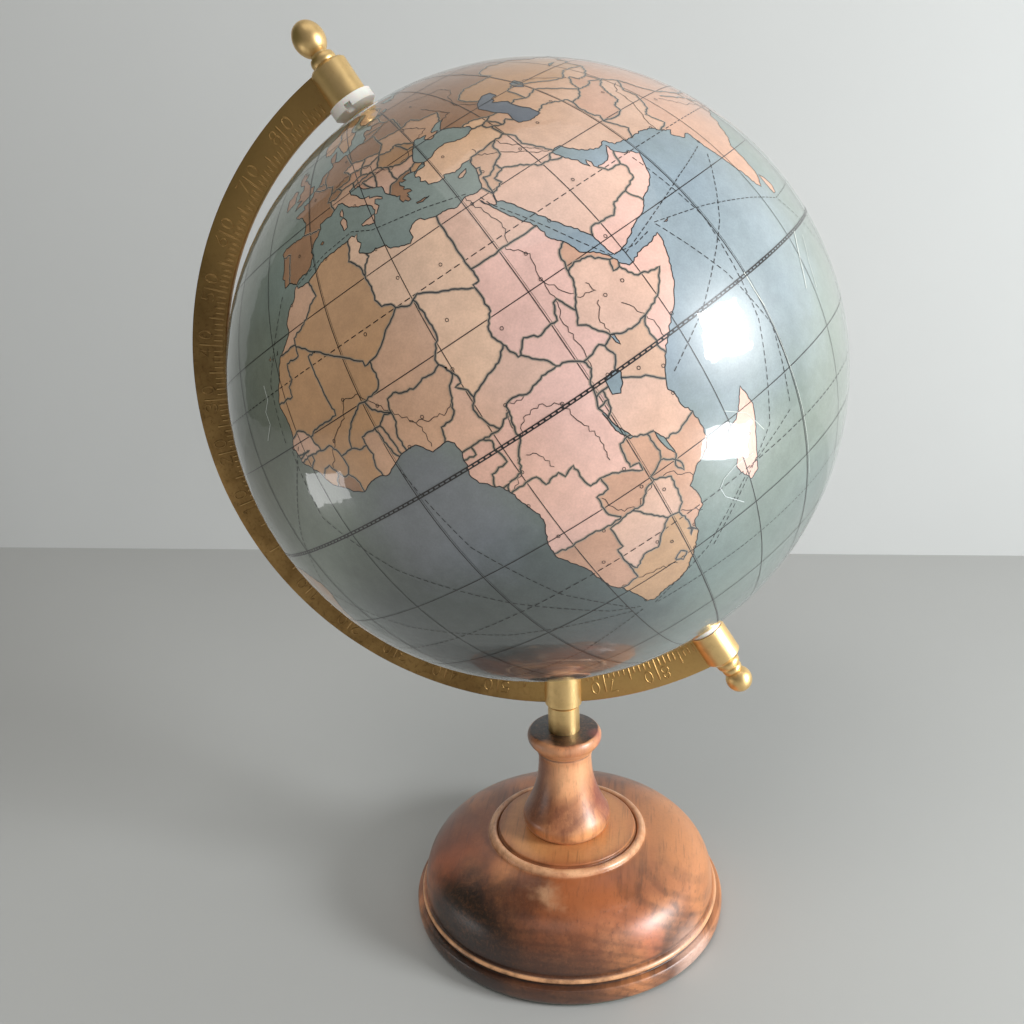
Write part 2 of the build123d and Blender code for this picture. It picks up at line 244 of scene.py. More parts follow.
def bulge(low, high, crest, count=12):
    """A rounded bead from low to high, as wide as crest half way up."""
    middle = (low[0] + high[0]) / 2
    points = []
    for step in range(count + 1):
        turn = math.pi * step / count
        along = (1 - math.cos(turn)) / 2
        radius = low[0] + (high[0] - low[0]) * along + (crest - middle) * math.sin(turn)
        points.append((radius, low[1] + (high[1] - low[1]) * along))
    return points


def dome(foot, crown, fullness, count=40):
    """A full dome from its upright foot to its level crown."""
    points = []
    for step in range(count + 1):
        turn = math.pi / 2 * step / count
        radius = crown[0] + (foot[0] - crown[0]) * math.cos(turn) ** (2 / fullness)
        points.append((radius, foot[1] + (crown[1] - foot[1]) * math.sin(turn) ** (2 / fullness)))
    return points


def spot(tree, place, centre, inner, outer, warp=0.0):
    """One inside a ball round a centre in millimetres, fading to none; a warp makes its edge ragged."""
    if warp:
        cloud = noise(tree, place, 90.0, 4.0, 0.6).outputs["Color"]
        shift = node(tree, "VectorMath", {0: cloud, 1: (0.5, 0.5, 0.5)}, operation="SUBTRACT")
        scaled = node(tree, "VectorMath", {0: shift, "Scale": warp * mm}, operation="SCALE")
        place = node(tree, "VectorMath", {0: place, 1: scaled}, operation="ADD")
    reach = node(tree, "VectorMath", {0: place, 1: [c * mm for c in centre]}, operation="DISTANCE")
    return share(tree, reach.outputs["Value"], inner * mm, outer * mm, 1.0, 0.0)


def ring_reach(tree, place, radius, height, inner, outer):
    """One on a ring round the stand's axis, at a radius and height in millimetres, fading to none."""
    parts = node(tree, "SeparateXYZ", {0: place})
    flat = node(tree, "CombineXYZ", {"X": parts.outputs["X"], "Y": parts.outputs["Y"]})
    out = node(tree, "VectorMath", {0: flat}, operation="LENGTH").outputs["Value"]
    section = node(tree, "CombineXYZ", {"X": out, "Y": parts.outputs["Z"]})
    away = node(tree, "VectorMath", {0: section, 1: (radius * mm, height * mm, 0)}, operation="DISTANCE")
    return share(tree, away.outputs["Value"], inner * mm, outer * mm, 1.0, 0.0)


def flecked(tree, colour, over, pattern, low, high, strength):
    """The colour with another over it where a pattern is high."""
    return blended(tree, times(tree, share(tree, pattern, low, high), strength), colour, over)


def bumped(tree, shader, pattern, strength, depth, socket="Normal"):
    """Makes a surface uneven by a pattern, as deep as given in metres."""
    bump = node(tree, "Bump", {"Strength": strength, "Distance": depth, "Height": pattern})
    join(tree, bump, shader.inputs[socket])


def stained_wood(name, grain, light, middle, dark, patches, rings):
    """Stained and waxed wood: growth rings, fine grain and pores drawn out along the grain, and patches and
    rings of stain, some of which are painted light and shade.
    """
    material, tree, shader, place = finish(
        name, {"Specular IOR Level": 0.45, "Coat Weight": 0.75, "Coat Roughness": 0.33, "Coat IOR": 1.45}
    )
    streaks = noise(tree, place, 420.0, 4.0, 0.6, grain)
    broad = noise(tree, place, 48.0, 4.0, 0.6, [0.3 + 0.7 * g for g in grain])
    pores = noise(tree, place, 1500.0, 2.0, 0.5, grain)
    speckle = noise(tree, place, 900.0, 4.0, 0.75)
    pith = node(tree, "VectorMath", {0: place, 1: (0.004, 0.0, 0.050)}, operation="ADD")
    growth = node(
        tree,
        "TexWave",
        {"Vector": pith, "Scale": 105.0, "Distortion": 3.2, "Detail": 3.0, "Detail Scale": 0.5},
        wave_type="RINGS",
        rings_direction="Y" if grain[1] < 1 else "Z",
    )
    colour = blended(tree, share(tree, broad, 0.36, 0.66), middle, light)
    colour = flecked(tree, colour, dark, growth, 0.45, 1.0, 0.30)
    colour = flecked(tree, colour, dark, streaks, 0.48, 0.70, 0.55)
    colour = flecked(tree, colour, light, speckle, 0.60, 0.76, 0.30)
    mottled = share(tree, speckle, 0.25, 0.6, 0.75, 1.0)
    ring_unevenness = share(tree, noise(tree, place, 150.0, 4.0, 0.65), 0.3, 0.62, 0.35, 1.0)
    # The patches and rings are stains, and some of them, marked in their lists, are painted light and shade.
    for centre, inner, outer, warp, stain_and_painted_light, strength in patches:
        mask = spot(tree, place, centre, inner, outer, warp)
        colour = blended(tree, times(tree, times(tree, mask, strength), mottled), colour, stain_and_painted_light)
    for radius, height, inner, outer, stain_and_painted_light, strength in rings:
        mask = ring_reach(tree, place, radius, height, inner, outer)
        colour = blended(tree, times(tree, times(tree, mask, strength), ring_unevenness), colour, stain_and_painted_light)
    colour = flecked(tree, colour, light, speckle, 0.62, 0.80, 0.24)
    colour = flecked(tree, colour, dark, pores, 0.57, 0.74, 0.28)
    join(tree, colour, shader.inputs["Base Color"])
    join(tree, share(tree, broad, 0.3, 0.7, 0.34, 0.50), shader.inputs["Roughness"])
    bumped(tree, shader, node(tree, "Math", {0: streaks, 1: pores}, operation="ADD"), 0.22, 0.0002)
    return material


base_patches = [
    # centre, inner and outer reach, raggedness, stain, strength; some stains are painted light and shade, as
    # marked
    # Partly the top's own lighter tone, partly painted light on the flat top, which faces the lamps.
    ((0, 0, 33), 21, 27, 4, srgb(216, 154, 96), 0.75),
    # Partly golden wood, partly painted light on the right side, where the main lamp falls.
    ((44, 8, 24), 12, 42, 22, srgb(204, 134, 80), 0.85),
    ((6, -36, 27), 8, 28, 22, srgb(172, 96, 54), 0.75),
    ((-40, -8, 24), 6, 32, 26, srgb(114, 52, 16), 0.90),
    ((-41, -20, 21), 2, 13, 16, srgb(190, 100, 56), 0.60),
    # Partly a dark stain, partly painted shade low on the front left, away from the lamps.
    ((-34, -44, 12), 16, 34, 20, srgb(18, 12, 10), 0.98),
    ((8, -54, 10), 3, 26, 26, srgb(72, 44, 32), 0.70),
    ((40, -42, 12), 4, 20, 16, srgb(58, 36, 32), 0.80),
    ((30, -42, 19), 1, 9, 14, srgb(206, 112, 70), 0.60),
    # Painted shade on the left side, away from the main lamp.
    ((-56, 14, 12), 6, 26, 22, srgb(60, 36, 26), 0.75),
    ((-12, -36, 27), 4, 15, 16, srgb(78, 42, 26), 0.75),
    ((-4, -37, 26), 0.5, 9, 24, srgb(216, 170, 130), 0.55),
    # A painted highlight of the low lamp on the right of the foot band.
    ((46, -33, 4), 3, 15, 6, srgb(220, 182, 164), 0.80),
    # Painted shade on the front of the foot band.
    ((-4, -57, 4), 8, 36, 10, srgb(58, 36, 27), 0.80),
    ((12, 46, 20), 6, 22, 26, srgb(104, 64, 40), 0.50),
]
base_rings = [
    # radius, height, inner and outer reach, stain, strength; some stains are painted highlights and shade, as
    # marked
    # Partly wear, partly a painted highlight along the ring bead.
    (28.3, 31.0, 1.2, 2.7, srgb(230, 176, 132), 0.85),
    # Painted shade in the groove inside the ring bead.
    (25.3, 30.6, 0.2, 0.7, srgb(54, 32, 22), 0.50),
    # Partly wear, partly a painted highlight along the thin bead.
    (54.9, 9.0, 0.3, 1.1, srgb(226, 168, 120), 0.85),
    # Painted shade in the groove above the foot band.
    (54.2, 7.5, 0.3, 0.9, srgb(40, 26, 20), 0.90),
    # Painted shade where the dome meets the thin bead.
    (53.7, 10.6, 0.2, 0.9, srgb(60, 38, 28), 0.60),
]
base_wood = stained_wood(
    "stained_wood_base",
    (1, 0.05, 1),
    srgb(196, 127, 79),
    srgb(148, 88, 54),
    srgb(44, 26, 18),
    base_patches,
    base_rings,
)
felt_top, base_top = 1.0, 31.5
foot_band = bulge((55.9, 1.3), (56.3, 7.0), 57.0, 10)
groove = [(54.4, 7.15), (54.4, 7.8)]
thin_bead = bulge((54.3, 7.9), (53.5, 9.9), 54.95, 10)
base_outline = eased([(0, felt_top), (55.4, felt_top)] + foot_band + groove + thin_bead, 0.3)
base_outline += dome((53.5, 9.95), (29.2, 29.15), 2.45)
bead_radius, bead_height, bead_size = 27.45, 29.45, 1.6
ring_bead = [
    (bead_radius + bead_size * math.cos(a), bead_height + bead_size * math.sin(a))
    for a in np.linspace(0, math.pi, 15)
]
base_outline += ring_bead
flat_top = [(25.7, 30.3), (25.3, 30.5), (25.2, base_top), (14, base_top)]
base_outline += eased([ring_bead[-1]] + flat_top, 0.35)[1:] + [(8, base_top), (0, base_top)]
turned_base = turned_piece("turned_base", base_outline, base_wood, steps=192)
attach(turned_base, "stand")
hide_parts("wooden_base")


# ---------------------------------------------------------------- pedestal
# One turned upright of the same wood, with its grain standing, on the base's flat top: a rounded foot, a long
# hollow, a neck with one scored line and a flaring cup, whose flat top under the ball is painted nearly black
# as shade. Light and shade are painted into its colour too: darker on the left, lighter on the neck, and a
# painted highlight on the cup.
def arc_from_upright(widest, end, count=12):
    """An arc from where the outline is upright to an end nearer the axis."""
    inward, rise = widest[0] - end[0], end[1] - widest[1]
    radius = (inward**2 + rise**2) / (2 * inward)
    full = math.asin(abs(rise) / radius)
    side = math.copysign(1, rise)
    turns = [full * step / count for step in range(count + 1)]
    return [(widest[0] - radius * (1 - math.cos(t)), widest[1] + side * radius * math.sin(t)) for t in turns]


def ogee(low, high, portion, count=14):
    """Two arcs, upright at both ends, that meet at a portion of the straight way from low to high."""
    wide, rise = high[0] - low[0], high[1] - low[1]
    whole = (wide**2 + rise**2) / (2 * abs(wide))
    full = math.asin(rise / whole)
    outward = math.copysign(1, wide)
    points = []
    for step in range(count + 1):
        turn, bend = full * step / count, portion * whole
        points.append((low[0] + outward * bend * (1 - math.cos(turn)), low[1] + bend * math.sin(turn)))
    for step in range(count - 1, -1, -1):
        turn, bend = full * step / count, (1 - portion) * whole
        points.append((high[0] - outward * bend * (1 - math.cos(turn)), high[1] - bend * math.sin(turn)))
    return points


pedestal_foot, pedestal_top = base_top, 70.4
foot_swell = (16.1, pedestal_foot + 4.5)
neck = (9.65, pedestal_foot + 27.7)
lip = (13.5, pedestal_top - 2.3)
cove = ogee(foot_swell, neck, 0.11)
line_height, line_size = 62.4, 0.35
cup = []
for radius, height in ogee(neck, lip, 0.68, 20)[1:]:
    scored = line_size * math.exp(-(((height - line_height) / line_size) ** 2))
    cup.append((radius - scored, height))
pedestal_patches = [
    # centre, inner and outer reach, raggedness, stain, strength; some stains are painted light and shade, as
    # marked
    # Painted shade: the cup's flat top, under the ball, made nearly black.
    ((0, 0, 70.9), 12.0, 12.9, 2, srgb(14, 11, 11), 1.0),
    # Painted shade on the left side, away from the main lamp.
    ((-14, -8, 46), 6, 17, 5, srgb(98, 52, 30), 0.90),
    ((2, -15, 42), 3, 11, 8, srgb(120, 68, 50), 0.70),
    # A painted highlight on the upper left of the cup.
    ((-6, -12, 68), 1.5, 5, 3, srgb(232, 168, 124), 0.75),
    # Painted shade on the left of the cup.
    ((-13, -3, 67), 2.5, 7, 2, srgb(40, 24, 19), 0.90),
    # Painted light on the neck.
    ((3, -12, 58), 4, 15, 8, srgb(250, 188, 138), 0.70),
    ((16.5, -1, 46), 5, 15, 4, srgb(128, 56, 42), 0.92),
    ((13, -3, 68), 1, 6, 3, srgb(166, 78, 68), 0.80),
    ((-10, -7, 58), 3, 9, 4, srgb(124, 70, 46), 0.80),
    ((4, -11, 65.5), 2, 8, 5, srgb(184, 116, 84), 0.60),
]
pedestal_rings = [
    # radius, height, inner and outer reach, stain, strength
    (15.4, 33.2, 0.6, 1.6, srgb(206, 154, 114), 0.60),
    (10.2, line_height, 0.2, 0.7, srgb(70, 40, 28), 0.70),
    (13.4, 68.6, 0.3, 1.5, srgb(206, 146, 106), 0.50),
]
pedestal_wood = stained_wood(
    "stained_wood_pedestal",
    (1, 1, 0.06),
    srgb(242, 174, 118),
    srgb(216, 142, 92),
    srgb(104, 56, 38),
    pedestal_patches,
    pedestal_rings,
)
pedestal_outline = [(5.0, pedestal_foot), (13.7, pedestal_foot)]
pedestal_outline += arc_from_upright(foot_swell, (13.9, pedestal_foot + 0.05))[::-1]
pedestal_outline += cove[1:] + cup
cup_edge = arc_from_upright(lip, (12.3, pedestal_top - 0.08))[1:]
pedestal_outline += eased(cup_edge + [(12.0, pedestal_top), (5.0, pedestal_top)], 0.3)
turned_pedestal = turned_piece("turned_pedestal", pedestal_outline, pedestal_wood)
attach(turned_pedestal, "stand")
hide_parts("pedestal")


# ---------------------------------------------------------------- felt and the nut under the base
# Green felt glued under the foot, and the zinc-plated bolt, washer and nut that it hides, which pull the
# stand together. The polar rod is the same bright steel.
felt, tree, shader, place = finish("wool_felt", {"Roughness": 0.95, "Sheen Weight": 0.4})
fibres = noise(tree, place, 1400.0, 5.0, 0.75)
tufts = noise(tree, place, 160.0, 3.0)
green = blended(tree, tufts, srgb(32, 58, 40), srgb(48, 80, 56))
green = flecked(tree, green, srgb(76, 104, 80), fibres, 0.35, 0.7, 1.0)
join(tree, green, shader.inputs["Base Color"])
bumped(tree, shader, fibres, 0.6, 0.0003)
nodes["felt_pad"].data.materials[0] = felt

plated, tree, shader, place = finish("plated_steel", {"Metallic": 1.0, "Base Color": srgb(196, 197, 200)})
drawn = noise(tree, place, 700.0, 3.0, 0.6, (1, 1, 0.1))
join(tree, share(tree, drawn, 0.3, 0.7, 0.22, 0.38), shader.inputs["Roughness"])
bumped(tree, shader, drawn, 0.08, 0.0001)
for name in ("tie_bolt", "bolt_washer", "bolt_nut", "axle_rod"):
    nodes[name].data.materials[0] = plated


# ---------------------------------------------------------------- brass post, sleeves and finials
# Turned brass under a satin lacquer that shows fine lathe rings: on the post a plain ferrule and the slotted
# head that grips the arm, and at each end of the polar rod a slotted sleeve, a screwed finial and the eyelet
# that lines the ball's pole hole.
def turned_brass(name, axis, colour, tarnish):
    """Satin brass with lathe rings round an axis and a little tarnish."""
    material, tree, shader, place = finish(
        name, {"Metallic": 1.0, "Coat Weight": 0.15, "Coat Roughness": 0.25}
    )
    along = node(tree, "VectorMath", {0: place, 1: axis}, operation="DOT_PRODUCT").outputs["Value"]
    ring_place = node(tree, "CombineXYZ", {"Z": along})
    lathe_rings = node(tree, "TexNoise", {"Vector": ring_place, "Scale": 5200.0, "Detail": 3.0})
    cloud = noise(tree, place, 260.0, 4.0, 0.6)
    grime = noise(tree, place, 900.0, 5.0, 0.7)
    tone = flecked(tree, colour, tarnish, cloud, 0.42, 0.75, 0.22)
    tone = flecked(tree, tone, tarnish, grime, 0.60, 0.78, 0.30)
    join(tree, tone, shader.inputs["Base Color"])
    join(tree, share(tree, cloud, 0.3, 0.7, 0.38, 0.46), shader.inputs["Roughness"])
    bumped(tree, shader, lathe_rings, 0.22, 0.00005)
    return material


polar_axis = Vector((-0.53242, 0, 0.84648))
brass_tone = srgb(244, 208, 145)
tarnish_tone = srgb(164, 126, 76)
post_brass = turned_brass("satin_brass_post", (0, 0, 1), brass_tone, tarnish_tone)
axis_brass = turned_brass("satin_brass_polar", polar_axis, brass_tone, tarnish_tone)
for name in ("post_ferrule", "slotted_head"):
    nodes[name].data.materials[0] = post_brass
for end in ("north", "south"):
    for part in ("sleeve", "finial", "eyelet"):
        nodes[f"{end}_{part}"].data.materials[0] = axis_brass


# ---------------------------------------------------------------- meridian arm
# A flat half ring stamped from brass strip, lacquered over an antique finish that stays dark beside the
# raised scale. Each face has a ridge at each degree, longer at each five and ten, and raised numerals.
ball_centre = Vector((-6.33, 0, 200.66223))
across = Vector((0.84648, 0, 0.53242))
arm_inner, arm_outer, arm_half = 107.3, 119.5, 1.2


def on_arm(radius, degree, side):
    """A point in the arm's plane, by its distance from the ball's centre and its degree of the scale."""
    turn = math.radians(degree)
    flat = polar_axis * math.sin(turn) - across * math.cos(turn)
    return ball_centre + flat * radius + Vector((0, side, 0))


arm_points, arm_faces, section = [], [], []
ease = 0.35
for corner_radius, corner_side in (
    (arm_outer, arm_half),
    (arm_outer, -arm_half),
    (arm_inner, -arm_half),
    (arm_inner, arm_half),
):
    out = 1 if corner_radius == arm_outer else -1
    up = 1 if corner_side > 0 else -1
    bend = [(out * math.cos(a), up * math.sin(a)) for a in np.linspace(0, math.pi / 2, 4)]
    if out * up > 0:
        bend.reverse()
    for c, s in bend:
        section.append((corner_radius - out * ease + c * ease, corner_side - up * ease + s * ease))
rod_clearance, arm_steps = 3.0, 240
arm_reach = 90 - math.degrees(math.asin(rod_clearance / arm_inner))
for step in range(arm_steps + 1):
    degree = -arm_reach + 2 * arm_reach * step / arm_steps
    arm_points += [on_arm(radius, degree, side) for radius, side in section]
girth = len(section)
for step in range(arm_steps):
    for k in range(girth):
        a, b = step * girth + k, step * girth + (k + 1) % girth
        arm_faces.append((a, b, b + girth, a + girth))
arm_faces.append(tuple(range(girth))[::-1])
arm_faces.append(tuple(arm_steps * girth + k for k in range(girth)))


def ridge(path, width, height, face):
    """A raised line with a round back on one face of the arm, along points of (radius, degree)."""
    flat = [on_arm(radius, degree, 0) for radius, degree in path]
    start, root, end_width = len(arm_points), arm_half - 0.02, 0.4
    profile = [(-0.5, 0.0), (-0.4, 0.62), (-0.17, 0.96), (0.17, 0.96), (0.4, 0.62), (0.5, 0.0)]
    rows = []
    for k, point in enumerate(flat):
        before, after = flat[max(k - 1, 0)], flat[min(k + 1, len(flat) - 1)]
        along = (after - before).normalized()
        beside = along.cross(Vector((0, 1, 0)))
        rows.append([(point + beside * width * u, height * v) for u, v in profile])
    first = (flat[0] - flat[1]).normalized() * width / 2
    last = (flat[-1] - flat[-2]).normalized() * width / 2
    rows.insert(0, [(flat[0] + first + (p - flat[0]) * end_width, 0.0) for p, h in rows[0]])
    rows.append([(flat[-1] + last + (p - flat[-1]) * end_width, 0.0) for p, h in rows[-1]])
    for row in rows:
        arm_points.extend(p + Vector((0, face * (root + h), 0)) for p, h in row)
    size = len(profile)
    for r in range(len(rows) - 1):
        for k in range(size - 1):
            a, b = start + r * size + k, start + (r + 1) * size + k
            arm_faces.append((a, a + 1, b + 1, b) if face < 0 else (a, b, b + 1, a + 1))


def loop(across_reach, up_reach, centre=(0.0, 0.0), start=0, end=360, count=14):
    """Points round an ellipse in a numeral."""
    turns = [math.radians(start + (end - start) * k / count) for k in range(count + 1)]
    return [(centre[0] + across_reach * math.sin(t), centre[1] + up_reach * math.cos(t)) for t in turns]


# Each numeral's strokes, in a box one wide and one high round its middle.
numerals = {
    "0": [loop(0.38, 0.5)],
    "1": [[(-0.2, 0.28), (0.05, 0.5), (0.05, -0.5)]],
    "2": [loop(0.36, 0.24, (0, 0.26), -80, 115, 8) + [(-0.38, -0.5), (0.4, -0.5)]],
    "3": [loop(0.34, 0.24, (0, 0.26), -70, 180, 9), loop(0.38, 0.26, (0, -0.24), 0, 250, 10)],
    "4": [[(0.16, -0.5), (0.16, 0.5), (-0.4, -0.2), (0.42, -0.2)]],
    "5": [[(0.34, 0.5), (-0.28, 0.5), (-0.32, 0.06)] + loop(0.38, 0.31, (-0.02, -0.19), -40, 230, 10)],
    "6": [[(0.24, 0.5), (-0.2, 0.12)] + loop(0.36, 0.28, (0, -0.22), -80, 280, 12)],
    "7": [[(-0.38, 0.5), (0.38, 0.5), (-0.1, -0.5)]],
    "8": [loop(0.31, 0.23, (0, 0.27)), loop(0.38, 0.27, (0, -0.23))],
}
tick_lengths = {1: 2.9, 5: 5.1, 10: 8.1}
tick_width, tick_height = 0.72, 0.30
mark_spacing, zero_mark = 0.975, -0.4
tick_start = arm_inner + 1.2
arm_middle = (arm_inner + arm_outer) / 2
sleeve_reach, head_reach = 7.1, 7.35
numeral_middle, figure_places = 114.8, (-2.8, 3.5)
figure_width, figure_height = 3.4, 4.4
stroke_width, stroke_height = 0.6, 0.22
for face in (-1, 1):
    for degree in range(-89, 90):
        mark = degree * mark_spacing + zero_mark
        in_sleeve = arm_inner * math.cos(math.radians(mark)) < sleeve_reach
        in_head = abs(on_arm(arm_middle, mark, 0).x) < head_reach and degree < 0
        if in_sleeve or in_head:
            continue
        length = max(tick_lengths[step] for step in tick_lengths if degree % step == 0)
        ridge([(tick_start, mark), (tick_start + length, mark)], tick_width, tick_height, face)
        if degree % 10 or degree == 0:
            continue
        for beside, figure in zip(figure_places, str(abs(degree))):
            for stroke in numerals[figure]:
                path = []
                for u, v in stroke:
                    turn = math.degrees((beside + u * figure_width) / numeral_middle)
                    path.append((numeral_middle + v * figure_height, mark - face * turn))
                ridge(path, stroke_width, stroke_height, face)

antique, tree, shader, place = finish(
    "antique_brass", {"Metallic": 1.0, "Coat Weight": 0.10, "Coat Roughness": 0.35}
)
cloud = noise(tree, place, 120.0, 4.0, 0.6)
mottle = noise(tree, place, 700.0, 5.0, 0.65)
brushed = noise(tree, place, 1100.0, 2.0, 0.5, (1, 0.2, 1))
tone = blended(tree, share(tree, cloud, 0.3, 0.75), srgb(166, 132, 82), srgb(136, 105, 62))
tone = flecked(tree, tone, srgb(98, 74, 45), mottle, 0.5, 0.75, 0.6)
# Both ends are polished by handling, and the backs of the ridges and numerals are rubbed bright.
for handled_end in (72, -74):
    polished = spot(tree, place, on_arm(113, handled_end, 0), 20, 62, 12)
    tone = blended(tree, times(tree, polished, 0.8), tone, srgb(212, 172, 108))
sides = node(tree, "SeparateXYZ", {0: place}).outputs["Y"]
proud = node(tree, "Math", {0: sides}, operation="ABSOLUTE")
tone = flecked(tree, tone, srgb(204, 168, 112), proud, 1.3 * mm, 1.5 * mm, 0.55)
join(tree, tone, shader.inputs["Base Color"])
join(tree, share(tree, mottle, 0.3, 0.7, 0.38, 0.52), shader.inputs["Roughness"])
bumped(tree, shader, brushed, 0.15, 0.0001)

arm = mesh_piece("graduated_arm", arm_points, arm_faces, antique)
arm.data.set_sharp_from_angle(angle=math.radians(50))
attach(arm, "stand")
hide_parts("meridian_arm")


# ---------------------------------------------------------------- nylon bearings
# White moulded nylon, slightly milky and a little soiled by handling. A bearing with a thrust flange is
# pressed into the brass eyelet of each pole and runs on the polar rod.
nylon, tree, shader, place = finish(
    "white_nylon", {"Roughness": 0.42, "Subsurface Weight": 0.25, "Subsurface Scale": 0.002, "IOR": 1.53}
)
cloud = noise(tree, place, 300.0, 3.0)
handled = noise(tree, place, 90.0, 4.0, 0.6)
milk = blended(tree, cloud, srgb(226, 222, 214), srgb(236, 233, 226))
milk = flecked(tree, milk, srgb(204, 192, 170), handled, 0.5, 0.8, 0.5)
join(tree, milk, shader.inputs["Base Color"])
bumped(tree, shader, cloud, 0.08, 0.0001)
for name in ("north_bearing", "south_bearing"):
    nodes[name].data.materials[0] = nylon


# ---------------------------------------------------------------- pressed board inside the ball
# The two half shells are joined by a hoop glued inside the equator. It is raw grey-brown board with the
# flecks of its pulp, and it shows nowhere once the ball is closed.
board, tree, shader, place = finish("raw_board", {"Roughness": 0.9})
flecks = noise(tree, place, 900.0, 5.0, 0.7)
pulp = flecked(tree, srgb(168, 146, 116), srgb(132, 112, 88), flecks, 0.35, 0.7, 1.0)
join(tree, pulp, shader.inputs["Base Color"])
bumped(tree, shader, flecks, 0.4, 0.0002)
nodes["joining_ring"].data.materials[0] = board
